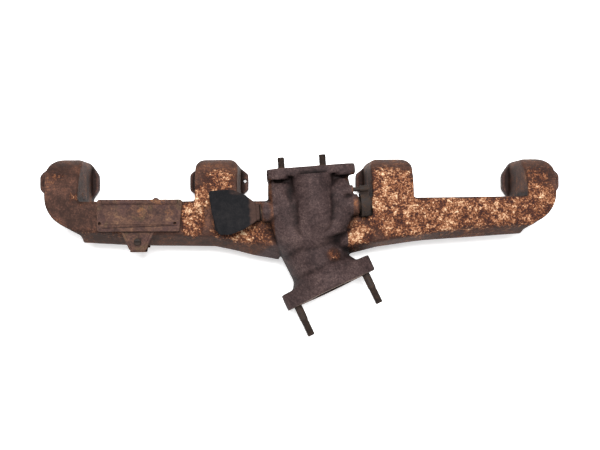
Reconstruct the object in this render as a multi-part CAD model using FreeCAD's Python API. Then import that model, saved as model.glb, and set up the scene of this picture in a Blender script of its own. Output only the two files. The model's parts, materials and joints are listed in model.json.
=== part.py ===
import FreeCAD, Part
import math
import os
from FreeCAD import Vector, Matrix

# Exhaust manifold of an in-line six cylinder engine with a heat riser valve.
# Everything is drawn first in the head frame: X along the engine, Y up the
# engine, Z away from the cylinder head face (the head face is Z = 0). At the
# end the whole assembly is laid down, port faces below, so that it rests on
# the lower edges of the port flanges and on the outlet flange.

# ---------------------------------------------------------------- dimensions
PORT_X = (-289.0, -104.0, 104.0, 289.0)   # port centres along the head
PORT_R_END = 17.5                          # bore of the end ports
PORT_R_MID = 20.0                          # bore of the two centre ports
PORT_BORE_LEN = 14.0                       # straight length of every port bore
FLANGE_T = 12.0                            # port flange thickness
FLANGE_HH = 26.0                           # port flange half height
LOG_BACK, LOG_FRONT = 36.0, 88.0           # depth of the collecting log
WALL = 5.5                                 # casting wall
TILT = 4.25                                # centre body turned in the XY plane, deg
BODY_X, BODY_Y = 7.0, -35.35               # middle of the centre body
SHAFT_Z = 94.0                             # valve shaft height over the head face
SHAFT_R = 5.0
SHAFT_CLEAR = 0.05                         # radial running clearance in the bushes
BUSH_R = 7.5
BUSH_LEN = 12.0
BOSS_R = 11.5
RISER_TOP = 48.2                           # heat riser flange face, along the body
RISER_T = 10.0
RISER_A, RISER_HW = 3.0, 51.9              # flange middle and half width
RISER_Z0, RISER_Z1 = 14.0, 106.0
RISER_HOLE_A = 38.5                        # front bolt holes from the flange middle
RISER_HOLE_Z = 93.0
RISER_HOLE_R = 5.2
HUB_RELIEF_R = 12.2                        # relief round the counterweight's hub
SPRING_RELIEF_R = 16.8                     # relief round the spring
STUD_R = 4.7625                            # 3/8 inch studs
RISER_STUD_A = (-29.4, 22.0)
RISER_STUD_Z = 27.0
RISER_STUD_UP = 19.0
OUT_C = (32.0, -132.0, 70.0)               # middle of the outlet face
OUT_ANG, OUT_LEAN = 25.0, 7.0              # outlet axis, deg
OUT_R = 27.0                               # outlet bore
OUT_BORE_LEN = 38.0                        # straight length of the outlet bore
OUT_T = 19.5                               # outlet flange thickness
OUT_STUD = 44.5                            # half the stud spacing
OUT_STUD_LEN = 38.0                        # stud length beyond the face
NECK_R = 36.5
COVER_T = 1.2                              # stove sheet
VALVE_T = 3.0
VALVE_LEN = 57.0
VALVE_ANG = 45.0                           # valve plate below level at rest, deg
TRAVEL = 42.0                              # valve travel, deg
FIT = 0.05                                 # small gap between touching pieces

V = Vector
cosT, sinT = math.cos(math.radians(TILT)), math.sin(math.radians(TILT))


# ------------------------------------------------------------------- helpers
def inset(pts, d):
    """The same polygon (x, y, radius) moved inward by d. Vertices run counter-clockwise."""
    n = len(pts)
    out = []
    for i in range(n):
        p0, p1, p2 = pts[i - 1], pts[i], pts[(i + 1) % n]
        a = (p1[0] - p0[0], p1[1] - p0[1])
        b = (p2[0] - p1[0], p2[1] - p1[1])
        la, lb = math.hypot(*a), math.hypot(*b)
        na = (-a[1] / la, a[0] / la)
        nb = (-b[1] / lb, b[0] / lb)
        q0 = (p0[0] + na[0] * d, p0[1] + na[1] * d)
        q1 = (p1[0] + nb[0] * d, p1[1] + nb[1] * d)
        det = a[0] * -b[1] + a[1] * b[0]
        if abs(det) < 1e-9:
            x, y = p1[0] + na[0] * d, p1[1] + na[1] * d
        else:
            t = ((q1[0] - q0[0]) * -b[1] + (q1[1] - q0[1]) * b[0]) / det
            x, y = q0[0] + a[0] * t, q0[1] + a[1] * t
        cross = a[0] * b[1] - a[1] * b[0]
        r = p1[2] - d if cross > 0 else p1[2] + d
        out.append((x, y, max(r, 1.5)))
    return out


def rounded(pts, place):
    """Closed wire of a polygon with rounded corners; place(x, y) gives the 3-D point."""
    n = len(pts)
    ends = []
    for i in range(n):
        p0, p1, p2 = pts[i - 1], pts[i], pts[(i + 1) % n]
        u = (p0[0] - p1[0], p0[1] - p1[1])
        w = (p2[0] - p1[0], p2[1] - p1[1])
        lu, lw = math.hypot(*u), math.hypot(*w)
        u = (u[0] / lu, u[1] / lu)
        w = (w[0] / lw, w[1] / lw)
        ang = math.acos(max(-1, min(1, u[0] * w[0] + u[1] * w[1])))
        t = p1[2] / math.tan(ang / 2)
        r = p1[2]
        s = (p1[0] + u[0] * t, p1[1] + u[1] * t)
        e = (p1[0] + w[0] * t, p1[1] + w[1] * t)
        bis = (u[0] + w[0], u[1] + w[1])
        lb = math.hypot(*bis)
        h = r / math.sin(ang / 2)
        c = (p1[0] + bis[0] / lb * h, p1[1] + bis[1] / lb * h)
        m = (c[0] - bis[0] / lb * r, c[1] - bis[1] / lb * r)
        ends.append((s, m, e))
    edges = []
    for i in range(n):
        s, m, e = ends[i]
        nxt = ends[(i + 1) % n][0]
        edges.append(Part.Arc(place(*s), place(*m), place(*e)).toShape())
        edges.append(Part.makeLine(place(*e), place(*nxt)))
    return Part.Wire(edges)


def prism(pts, place, direction):
    return Part.Face(rounded(pts, place)).extrude(direction)


def loft(wires):
    return Part.makeLoft(wires, True, True)


def cyl(base, axis, r, h):
    return Part.makeCylinder(r, h, V(*base), V(*axis))


def box(x0, x1, y0, y1, z0, z1):
    return Part.makeBox(x1 - x0, y1 - y0, z1 - z0, V(x0, y0, z0))


def fuse(parts):
    s = parts[0].fuse(parts[1:]) if len(parts) > 1 else parts[0]
    return s.removeSplitter()


def try_fillet(shape, r, pick):
    """Round the picked edges; the shape is kept as it was where that can't be done."""
    edges = [e for e in shape.Edges if pick(e)]
    if not edges:
        return shape
    try:
        out = shape.makeFillet(r, edges)
        if out.isValid() and out.Volume > 0.5 * shape.Volume:
            return out
    except Exception:
        pass
    done = shape
    return done


def body(shape):
    """From the centre body's own axes (a across, b up, c out) to the head frame."""
    s = shape.copy()
    s.rotate(V(0, 0, 0), V(0, 0, 1), TILT)
    s.translate(V(BODY_X, BODY_Y, 0))
    return s


def body_pt(a, b, c):
    return V(BODY_X + a * cosT - b * sinT, BODY_Y + a * sinT + b * cosT, c)


def rrect(cx, cy, hx, hy, r):
    r = min(r, hx - 0.5, hy - 0.5)
    return [
        (cx - hx, cy - hy, r),
        (cx + hx, cy - hy, r),
        (cx + hx, cy + hy, r),
        (cx - hx, cy + hy, r),
    ]


# --------------------------------------------------- outlet axis directions
oa, ol = math.radians(OUT_ANG), math.radians(OUT_LEAN)
OUT_N = V(math.sin(oa) * math.cos(ol), -math.cos(oa) * math.cos(ol), math.sin(ol))
OUT_U = V(math.cos(oa), math.sin(oa), 0)          # along the two studs
OUT_W = OUT_N.cross(OUT_U)                         # across them
OUT_P = V(*OUT_C)


def along(t):
    return OUT_P - OUT_N * t


def out_place(t):
    c = along(t)
    return lambda x, y: c + OUT_U * x + OUT_W * y


# ------------------------------------------------------------------- casting
# sections of the log: (X, top, crease, bottom), front face flat down to the
# crease and bevelled below it
LEFT_ARM = [
    (-262.0, -26.0, -60.5, -74.5),
    (-200.0, -26.0, -63.5, -78.0),
    (-106.0, -26.0, -66.5, -79.5),
    (-80.0, -26.0, -71.0, -85.0),
    (-60.0, -26.0, -75.0, -90.5),
    (-30.0, -26.0, -80.0, -96.0),
]
RIGHT_ARM = [
    (34.0, -23.5, -80.0, -94.0),
    (56.0, -23.5, -77.0, -88.8),
    (87.0, -23.0, -74.0, -81.0),
    (142.0, -22.4, -65.0, -73.6),
    (200.0, -21.8, -55.5, -70.0),
    (262.0, -21.2, -54.5, -66.0),
]


def log_section(x, top, crease, bottom):
    return [
        (LOG_FRONT, top, 7.0),
        (44.0, top, 8.0),
        (LOG_BACK, top - 9.0, 5.0),
        (LOG_BACK, bottom + 13.0, 7.0),
        (46.0, bottom, 7.0),
        (64.0, bottom, 7.0),
        (LOG_FRONT, crease, 6.0),
    ]


def log_solid(stations, d, extend0=0.0, extend1=0.0):
    wires = []
    for i, (x, top, crease, bottom) in enumerate(stations):
        pts = log_section(x, top, crease, bottom)
        if d:
            pts = inset(pts, d)
        if i == 0:
            x -= extend0
        if i == len(stations) - 1:
            x += extend1
        wires.append(rounded(pts, lambda z, y, x=x: V(x, y, z)))
    return loft(wires)


# check the turning sense of the log section once: inset needs counter-clockwise
def area(pts):
    return 0.5 * sum(
        pts[i - 1][0] * pts[i][1] - pts[i][0] * pts[i - 1][1] for i in range(len(pts))
    )


assert area(log_section(0, -26, -62, -78)) > 0


# side view of a port elbow, (Y, Z): flange, quarter turn, down into the log
def elbow_side(bottom, crease, deep):
    pts = [
        (-FLANGE_HH, 0.0, 1.6),
        (FLANGE_HH, 0.0, 1.6),
        (FLANGE_HH, LOG_FRONT, 50.0),
        (crease, LOG_FRONT, 6.0),
    ]
    if deep:
        pts += [
            (bottom, 64.0, 7.0),
            (bottom, 46.0, 7.0),
            (bottom + 13.0, LOG_BACK, 7.0),
        ]
    else:
        pts += [(crease, LOG_BACK, 1.6)]
    pts += [(-FLANGE_HH, LOG_BACK, 10.0)]
    return pts


def elbow_cavity_side(bottom, crease, deep, d):
    pts = inset(elbow_side(bottom, crease, deep), d)
    # the port end of the passage starts behind the flange
    out = []
    for y, z, r in pts:
        if z < 10:
            z = PORT_BORE_LEN
        out.append((y, z, r))
    return out


def plan_mid(cx, hw, top=FLANGE_HH):
    return [
        (cx - hw, -60.0, 1.6),
        (cx + hw, -60.0, 1.6),
        (cx + hw, top, 13.0),
        (cx - hw, top, 13.0),
    ]


def mid_runner(cx, d):
    side = elbow_side(-60, -60, False) if not d else elbow_cavity_side(-60, -60, False, d)
    a = prism(side, lambda y, z: V(cx - 40, y, z), V(80, 0, 0))
    back, front = plan_mid(cx, 28.0), plan_mid(cx, 24.6)
    if d:
        back, front = inset(back, d), inset(front, d)
        back = [(x, y - (6 if y < 0 else 0), r) for x, y, r in back]
        front = [(x, y - (6 if y < 0 else 0), r) for x, y, r in front]
    b = loft(
        [
            rounded(back, lambda x, y: V(x, y, 0.0)),
            rounded(front, lambda x, y: V(x, y, LOG_FRONT + 1)),
        ]
    )
    return a.common(b)


def plan_end(side, outer, inner, corner_y, slope, top, r_out):
    """Front view of an end hook, side -1 left, +1 right; outer wall, inner wall."""
    in_x = 236.0
    low = corner_y - slope * (outer - in_x)
    pts = [
        (inner, top, 9.0),
        (inner, -34.0, 1.6),
        (in_x, -34.0, 1.6),
        (in_x, low, 1.6),
        (outer, corner_y, r_out),
        (outer, top, 20.0),
    ]
    if side < 0:
        return [(-x, y, r) for x, y, r in pts]          # counter-clockwise on the left
    return [(x, y, r) for x, y, r in reversed(pts)][::1]


def end_hook(side, d):
    if side < 0:
        bottom, crease = LEFT_ARM[0][3], LEFT_ARM[0][2]
        a_back = plan_end(-1, 312.0, 261.0, -42.5, 0.57, FLANGE_HH, 38.0)
        a_front = plan_end(-1, 302.0, 263.5, -42.5, 0.57, FLANGE_HH, 36.0)
    else:
        bottom, crease = RIGHT_ARM[-1][3], RIGHT_ARM[-1][2]
        a_back = plan_end(1, 312.0, 261.0, -38.0, 0.60, FLANGE_HH, 38.0)
        a_front = plan_end(1, 297.5, 263.5, -38.0, 0.60, FLANGE_HH, 36.0)
    if area(a_back) < 0:
        a_back, a_front = a_back[::-1], a_front[::-1]
    sidep = elbow_side(bottom, crease, True) if not d else elbow_cavity_side(bottom, crease, True, d)
    x0 = -330.0 if side < 0 else 230.0
    a = prism(sidep, lambda y, z: V(x0, y, z), V(100, 0, 0))
    if d:
        a_back, a_front = inset(a_back, d), inset(a_front, d)
    b = loft(
        [
            rounded(a_back, lambda x, y: V(x, y, 0.0)),
            rounded(a_front, lambda x, y: V(x, y, LOG_FRONT + 1)),
        ]
    )
    return a.common(b)


def port_flange(i):
    cx = PORT_X[i]
    if i in (1, 2):
        pts = [
            (-17.0, -FLANGE_HH, 3.0),
            (17.0, -FLANGE_HH, 3.0),
            (36.8, -10.0, 3.0),
            (36.8, 10.0, 3.0),
            (17.0, FLANGE_HH, 5.0),
            (-17.0, FLANGE_HH, 5.0),
            (-36.8, 10.0, 3.0),
            (-36.8, -10.0, 3.0),
        ]
    else:
        s = -1 if i == 0 else 1
        pts = [
            (-24.0, -FLANGE_HH, 12.0),
            (17.0, -FLANGE_HH, 5.0),
            (37.4, -9.5, 8.0),
            (37.4, 9.5, 8.0),
            (17.0, FLANGE_HH, 10.0),
            (-24.0, FLANGE_HH, 12.0),
            (-36.0, 9.0, 9.0),
            (-36.0, -9.0, 9.0),
        ]
        if s < 0:
            pts = [(-x, y, r) for x, y, r in reversed(pts)]
    return prism(pts, lambda x, y: V(cx + x, y, 0), V(0, 0, FLANGE_T))


# centre body, drawn along its own axes and then turned by TILT
def body_place(b):
    return lambda a, c: body_pt(a, b, c)


def neck_frame(t, beta, lean):
    """Axes of a section between the body (beta = TILT) and the outlet (beta = OUT_ANG)."""
    be, le = math.radians(beta), math.radians(lean)
    n = V(math.sin(be) * math.cos(le), -math.cos(be) * math.cos(le), math.sin(le))
    u = V(math.cos(be), math.sin(be), 0)
    w = n.cross(u)
    return u, w


def lower_body(d):
    sections = []
    # (centre, half width, half depth, corner radius, beta, lean)
    c1 = body_pt(-0.6, -12.0, 63.0)
    c2 = body_pt(-1.6, -36.0, 64.0)
    c3 = along(56.0)
    sec = [
        (body_pt(-0.6, POCKET_B - (5.0 if d else 0.0), 63.0), 48.4, 42.0, 15.0, TILT, 0.0),
        (c1, 48.4, 42.5, 16.0, TILT, 0.0),
        (c2, 42.5, 41.0, 26.0, 11.0, 2.0),
        (c3, NECK_R + 1.0, NECK_R + 1.0, NECK_R + 0.5, 22.0, 6.0),
        (along(OUT_BORE_LEN if d else 18.0), NECK_R, NECK_R, NECK_R - 0.6, OUT_ANG, OUT_LEAN),
    ]
    if not d:
        # under the riser flange the front slopes back
        sec.insert(0, (body_pt(-0.4, RISER_TOP - RISER_T + 1.5, 53.5), 46.8, 33.5, 10.0, TILT, 0.0))
    for c, hx, hy, r, be, le in sec:
        u, w = neck_frame(0, be, le)
        hx, hy, r = hx - d, hy - d, max(r - d, 2.0)
        if d and be == OUT_ANG:
            hx = hy = OUT_R
            r = OUT_R - 0.6
        elif d and be == 22.0:
            hx = hy = OUT_R + 2.5
            r = OUT_R + 1.8
        pts = rrect(0, 0, hx, hy, r)
        sections.append(rounded(pts, lambda x, y, c=c, u=u, w=w: c + u * x + w * y))
    return loft(sections)


BARREL_A, BARREL_R, BARREL_Z = 3.3, 24.0, 92.0
POCKET_B = 21.0


def groove(side, more):
    """Tapered hollow between the barrel and a flank, running out near the shaft."""
    if side < 0:
        top, end, r0, r1 = body_pt(-25.5, 44.0, 110.5), body_pt(-24.0, 4.0, 110.5), 18.0, 5.0
    else:
        top, end, r0, r1 = body_pt(31.0, 44.0, 111.0), body_pt(30.5, 8.0, 111.0), 14.0, 4.5
    n = end - top
    return Part.makeCone(r0 + more, r1 + more, n.Length, top, n)


def barrel_solid():
    """Proud tube from the riser flange down into the outlet neck."""
    sections = []
    for c, r, be, le in (
        (body_pt(BARREL_A, RISER_TOP - RISER_T + 1.0, BARREL_Z), BARREL_R, TILT, 0.0),
        (body_pt(BARREL_A, 0.0, BARREL_Z), BARREL_R + 0.2, TILT, 0.0),
        (body_pt(1.8, -20.0, 85.5), 27.5, 8.0, 1.0),
        (body_pt(0.0, -35.0, 74.0), 32.5, 14.0, 3.0),
        (along(48.0), 35.2, 23.0, 6.5),
    ):
        u, w = neck_frame(0, be, le)
        pts = rrect(0, 0, r, r, r - 0.6)
        sections.append(rounded(pts, lambda x, y, c=c, u=u, w=w: c + u * x + w * y))
    return loft(sections)


def outer_body():
    parts = [lower_body(0.0)]
    parts = [parts[0].cut(groove(-1, 0.0)).cut(groove(1, 0.0))]
    parts.append(barrel_solid())
    # riser flange
    fl = prism(
        rrect(RISER_A, (RISER_Z0 + RISER_Z1) / 2, RISER_HW, (RISER_Z1 - RISER_Z0) / 2, 13.5),
        body_place(RISER_TOP - RISER_T),
        body_dir(RISER_T),
    )
    parts.append(fl)
    for s in (-1, 1):
        parts.append(
            Part.makeCylinder(12.8, 13.0, body_pt(RISER_A + s * RISER_HOLE_A, RISER_TOP - 13.0, RISER_HOLE_Z), body_dir(1.0))
        )
    # shaft bosses
    parts.append(Part.makeCylinder(BOSS_R, 22.0, body_pt(-58.0, 0, SHAFT_Z), body_across(1.0)))
    parts.append(Part.makeCylinder(BOSS_R + 1.0, 22.0, body_pt(33.0, 0, SHAFT_Z), body_across(1.0)))
    # lug for the spring anchor pin
    parts.append(Part.makeCylinder(5.6, 16.0, body_pt(34.0, ANCHOR_B, ANCHOR_Z), body_across(1.0)))
    return parts


def body_dir(h):
    return V(-sinT * h, cosT * h, 0)


def body_across(h):
    return V(cosT * h, sinT * h, 0)


ANCHOR_B, ANCHOR_Z, ANCHOR_R = 17.6, 100.0, 2.5


def cavity_body():
    parts = [lower_body(6.0)]
    riser = prism(rrect(RISER_A, 57.0, 29.0, 21.0, 9.0), body_place(0.0), body_dir(RISER_TOP + 2.0))
    parts.append(riser)
    barrel = Part.makeCylinder(BARREL_R - 6.0, 46.0, body_pt(BARREL_A, -14.0, BARREL_Z), body_dir(1.0))
    parts.append(barrel)
    return parts


def casting():
    outer = [log_solid(LEFT_ARM, 0.0), log_solid(RIGHT_ARM, 0.0)]
    outer += [mid_runner(PORT_X[1], 0.0), mid_runner(PORT_X[2], 0.0)]
    outer += [end_hook(-1, 0.0), end_hook(1, 0.0)]
    outer += [port_flange(i) for i in range(4)]
    outer += outer_body()
    # outlet flange: two-bolt oval plus a short fillet cone
    hull = outlet_outline(13.0, 40.5)
    outer.append(Part.Face(hull).extrude(OUT_N * OUT_T))
    cone = Part.makeCone(NECK_R - 0.5, NECK_R + 6.0, 10.0, along(OUT_T + 10.0), OUT_N)
    outer.append(cone)
    solid = outer[0]
    for p in outer[1:]:
        solid = solid.fuse(p)
    # plain round casting pad on the left arm
    solid = solid.fuse(casting_mark())

    inner = [log_solid(LEFT_ARM, WALL, 3.0, 0.0), log_solid(RIGHT_ARM, WALL, 0.0, 3.0)]
    inner += [mid_runner(PORT_X[1], WALL), mid_runner(PORT_X[2], WALL)]
    inner += [end_hook(-1, WALL), end_hook(1, WALL)]
    for i, x in enumerate(PORT_X):
        r = PORT_R_MID if i in (1, 2) else PORT_R_END
        inner.append(cyl((x, 0, -1), (0, 0, 1), r, PORT_BORE_LEN + 1.2))
    inner += cavity_body()
    inner.append(Part.makeCylinder(OUT_R, OUT_BORE_LEN + 3.0, along(OUT_BORE_LEN + 1.0), OUT_N))
    # room for the plate's front edge round the shaft
    inner.append(Part.makeCylinder(8.0, 66.0, body_pt(-33.5, 0, SHAFT_Z), body_across(1.0)))
    cav = inner[0]
    for p in inner[1:]:
        cav = cav.fuse(p)
    # the gas way stays a wall's thickness behind the two reliefs
    cav = cav.cut(Part.makeCylinder(HUB_RELIEF_R + 5.0, 28.0, body_pt(-79.0, 0, SHAFT_Z), body_across(1.0)))
    cav = cav.cut(groove(-1, 4.5)).cut(groove(1, 4.5))
    cav = cav.cut(Part.makeCylinder(SPRING_RELIEF_R + 5.0, 28.0, body_pt(50.0, 0, SHAFT_Z), body_across(1.0)))
    solid = solid.cut(cav)

    # reliefs in the log's front for the counterweight's hub and for the spring,
    # then the shaft bores with bush seats
    cuts = [
        Part.makeCylinder(HUB_RELIEF_R, 16.0, body_pt(-74.0, 0, SHAFT_Z), body_across(1.0)),
        Part.makeCylinder(SPRING_RELIEF_R, 16.5, body_pt(55.0, 0, SHAFT_Z), body_across(1.0)),
        Part.makeCylinder(BUSH_R, BUSH_LEN + 1.0, body_pt(-59.0, 0, SHAFT_Z), body_across(1.0)),
        Part.makeCylinder(BUSH_R, BUSH_LEN + 1.0, body_pt(55.0 - BUSH_LEN, 0, SHAFT_Z), body_across(1.0)),
        Part.makeCylinder(SHAFT_R + 0.6, 120.0, body_pt(-60.0, 0, SHAFT_Z), body_across(1.0)),
        Part.makeCylinder(ANCHOR_R, 14.0, body_pt(38.0, ANCHOR_B, ANCHOR_Z), body_across(1.0)),
    ]
    for a in RISER_STUD_A:
        cuts.append(Part.makeCylinder(STUD_R, 15.0, body_pt(a, RISER_TOP - 14.0, RISER_STUD_Z), body_dir(1.0)))
    for s in (-1, 1):
        cuts.append(
            Part.makeCylinder(RISER_HOLE_R, 20.0, body_pt(RISER_A + s * RISER_HOLE_A, RISER_TOP - 16.0, RISER_HOLE_Z), body_dir(1.0))
        )
        cuts.append(Part.makeCylinder(STUD_R, 17.0, OUT_P + OUT_U * (s * OUT_STUD) - OUT_N * 16.0, OUT_N))
    # small locating hole in the inner ear of the second port
    cuts.append(cyl((PORT_X[1] + 32.2, 1.5, -1), (0, 0, 1), 2.2, FLANGE_T + 2))
    for c in cuts:
        solid = solid.cut(c)
    return solid.Solids[0] if len(solid.Solids) == 1 else solid


def outlet_outline(r_end, r_mid):
    """Wire of the two-bolt oval at the back of the outlet flange."""
    c0 = along(OUT_T)
    L = OUT_STUD

    def P(x, y):
        return c0 + OUT_U * x + OUT_W * y

    # tangent lines between the middle circle and the end circles
    th = math.acos((r_mid - r_end) / L)
    pts = []
    sx = [(1, 1), (-1, 1), (-1, -1), (1, -1)]
    edges = []
    cx = math.cos(th)
    sy = math.sin(th)
    a_mid = (r_mid * cx, r_mid * sy)
    a_end = (L + r_end * cx, r_end * sy)
    edges.append(Part.Arc(P(a_end[0], -a_end[1]), P(L + r_end, 0), P(a_end[0], a_end[1])).toShape())
    edges.append(Part.makeLine(P(*a_end), P(*a_mid)))
    edges.append(Part.Arc(P(*a_mid), P(0, r_mid), P(-a_mid[0], a_mid[1])).toShape())
    edges.append(Part.makeLine(P(-a_mid[0], a_mid[1]), P(-a_end[0], a_end[1])))
    edges.append(Part.Arc(P(-a_end[0], a_end[1]), P(-L - r_end, 0), P(-a_end[0], -a_end[1])).toShape())
    edges.append(Part.makeLine(P(-a_end[0], -a_end[1]), P(-a_mid[0], -a_mid[1])))
    edges.append(Part.Arc(P(-a_mid[0], -a_mid[1]), P(0, -r_mid), P(a_mid[0], -a_mid[1])).toShape())
    edges.append(Part.makeLine(P(a_mid[0], -a_mid[1]), P(a_end[0], -a_end[1])))
    return Part.Wire(edges)


def casting_mark():
    """Plain raised ring on the front of the left arm, beside the second port."""
    c = (-120.0, -39.5, LOG_FRONT - 1.0)
    ring = cyl(c, (0, 0, 1), 9.0, 1.8)
    return ring.cut(cyl((c[0], c[1], c[2] - 1), (0, 0, 1), 7.0, 4.0))


# ------------------------------------------------------------ valve assembly
SH0, SH1 = -72.0, 70.0                      # shaft ends along the body axis


def across_cyl(a0, a1, r, b=0.0, z=SHAFT_Z):
    return Part.makeCylinder(r, a1 - a0, body_pt(a0, b, z), body_across(1.0))


def turned(shape, ang):
    """Turn about the shaft axis by ang degrees, from the outward side towards down."""
    s = shape.copy()
    s.rotate(body_pt(0, 0, SHAFT_Z), body_across(1.0), ang)
    return s


def local_box(a0, a1, b0, b1, z0, z1):
    s = Part.makeBox(a1 - a0, b1 - b0, z1 - z0, V(a0, b0, z0))
    return body(s)


SCREW_A = (-6.0, 12.6)


def valve_shaft():
    s = across_cyl(SH0, SH1, SHAFT_R)
    # flat seat for the plate, on the lower side, then turned with the plate
    seat = turned(local_box(-34.0, 33.0, -8.0, -2.5, SHAFT_Z - 8, SHAFT_Z + 8), VALVE_TURN)
    s = s.cut(seat)
    for a in SCREW_A:
        h = Part.makeCylinder(2.0, 14.0, body_pt(a, -7.0, SHAFT_Z), body_dir(1.0))
        s = s.cut(turned(h, VALVE_TURN))
    # slot for the inner end of the spring
    slot = local_box(56.6, 72.0, -7.0, 7.0, SHAFT_Z - 0.65, SHAFT_Z + 0.65)
    s = s.cut(slot)
    # cross hole for the counterweight pin
    s = s.cut(Part.makeCylinder(2.0, 30.0, body_pt(-65.5, -15.0, SHAFT_Z), body_dir(1.0)))
    # groove for the end clip, on the spring side
    groove = across_cyl(67.9, 69.0, 7.0).cut(across_cyl(67.0, 70.0, 3.9))
    return s.cut(groove)


VALVE_TURN = -VALVE_ANG                     # the plate hangs this far below level


def valve_plate():
    # level plate behind the shaft, under its flat, then turned down
    w0, w1 = -32.0, 31.0
    pts = [
        (w0, SHAFT_Z - VALVE_LEN, 16.0),
        (w1, SHAFT_Z - VALVE_LEN, 16.0),
        (w1, SHAFT_Z + 4.6, 2.0),
        (w0, SHAFT_Z + 4.6, 2.0),
    ]
    p = prism(pts, body_place(-2.5 - VALVE_T), body_dir(VALVE_T - FIT * 0))
    for a in SCREW_A:
        p = p.cut(Part.makeCylinder(2.1, 10.0, body_pt(a, -8.0, SHAFT_Z), body_dir(1.0)))
    return turned(p, VALVE_TURN)


def valve_screws():
    out = []
    for a in SCREW_A:
        head = Part.makeCylinder(3.8, 2.6, body_pt(a, -2.5 - VALVE_T - 2.6, SHAFT_Z), body_dir(1.0))
        slot = local_box(a - 4.5, a + 4.5, -2.5 - VALVE_T - 3.0, -2.5 - VALVE_T - 1.5, SHAFT_Z - 0.5, SHAFT_Z + 0.5)
        shank = Part.makeCylinder(1.98, VALVE_T + 6.5, body_pt(a, -2.5 - VALVE_T - 0.1, SHAFT_Z), body_dir(1.0))
        out.append(turned(head.cut(slot).fuse(shank).removeSplitter(), VALVE_TURN))
    return Part.makeCompound(out)


def bush(a0, flange_side):
    outer = across_cyl(a0, a0 + BUSH_LEN, BUSH_R)
    return outer.cut(across_cyl(a0 - 1, a0 + BUSH_LEN + 1, SHAFT_R + SHAFT_CLEAR))


CW_GAP = 0.4
CW_BACK, CW_T = 16.0, 5.0                   # paddle behind-face offset from the shaft axis


def counterweight():
    hub = across_cyl(-71.5, -59.0 - CW_GAP, 10.5)
    # paddle outline (a, b), counter-clockwise
    pts = [
        (-64.0, -10.5, 3.0),
        (-64.0, 11.0, 4.0),
        (-75.5, 21.0, 12.0),
        (-90.0, 28.0, 16.0),
        (-116.2, 28.0, 3.0),
        (-114.2, 3.0, 20.0),
        (-108.5, -22.5, 4.0),
        (-95.0, -23.5, 10.0),
        (-80.0, -19.0, 14.0),
    ]
    z0 = SHAFT_Z + CW_BACK
    plate = prism(pts, lambda a, b: body_pt(a, b, z0), V(0, 0, CW_T))
    # thickened rim pad towards the free end: the weight itself
    pad = prism(
        [(-112.5, -19.0, 4.0), (-92.0, -19.5, 8.0), (-86.0, 4.0, 8.0), (-92.0, 24.0, 8.0), (-113.0, 24.5, 4.0)],
        lambda a, b: body_pt(a, b, z0 - 6.0),
        V(0, 0, 6.1),
    )
    # web from the hub out to the paddle
    web = prism(
        [(-71.5, -9.0, 2.0), (-60.0, -9.0, 2.0), (-60.0, 9.0, 2.0), (-71.5, 9.0, 2.0)],
        lambda a, b: body_pt(a, b, SHAFT_Z),
        V(0, 0, CW_BACK + 3.0),
    )
    web2 = prism(
        [(-88.0, -6.0, 3.0), (-68.0, -8.0, 3.0), (-68.0, 8.0, 3.0), (-88.0, 6.0, 3.0)],
        lambda a, b: body_pt(a, b, SHAFT_Z + 9.0),
        V(0, 0, CW_BACK - 6.0),
    )
    s = hub.fuse([plate, pad, web, web2])
    s = s.cut(across_cyl(-80.0, -50.0, SHAFT_R))
    s = s.cut(Part.makeCylinder(2.0, 40.0, body_pt(-65.5, -20.0, SHAFT_Z), body_dir(1.0)))
    return s.removeSplitter()


def counterweight_pin():
    return Part.makeCylinder(1.98, 20.4, body_pt(-65.5, -10.2, SHAFT_Z), body_dir(1.0))


def thrust_washer(a0, t, ro=9.0):
    return across_cyl(a0, a0 + t, ro).cut(across_cyl(a0 - 1, a0 + t + 1, SHAFT_R + SHAFT_CLEAR))


SP_A0, SP_A1 = 57.0, 67.0
SP_T = 1.0


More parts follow.
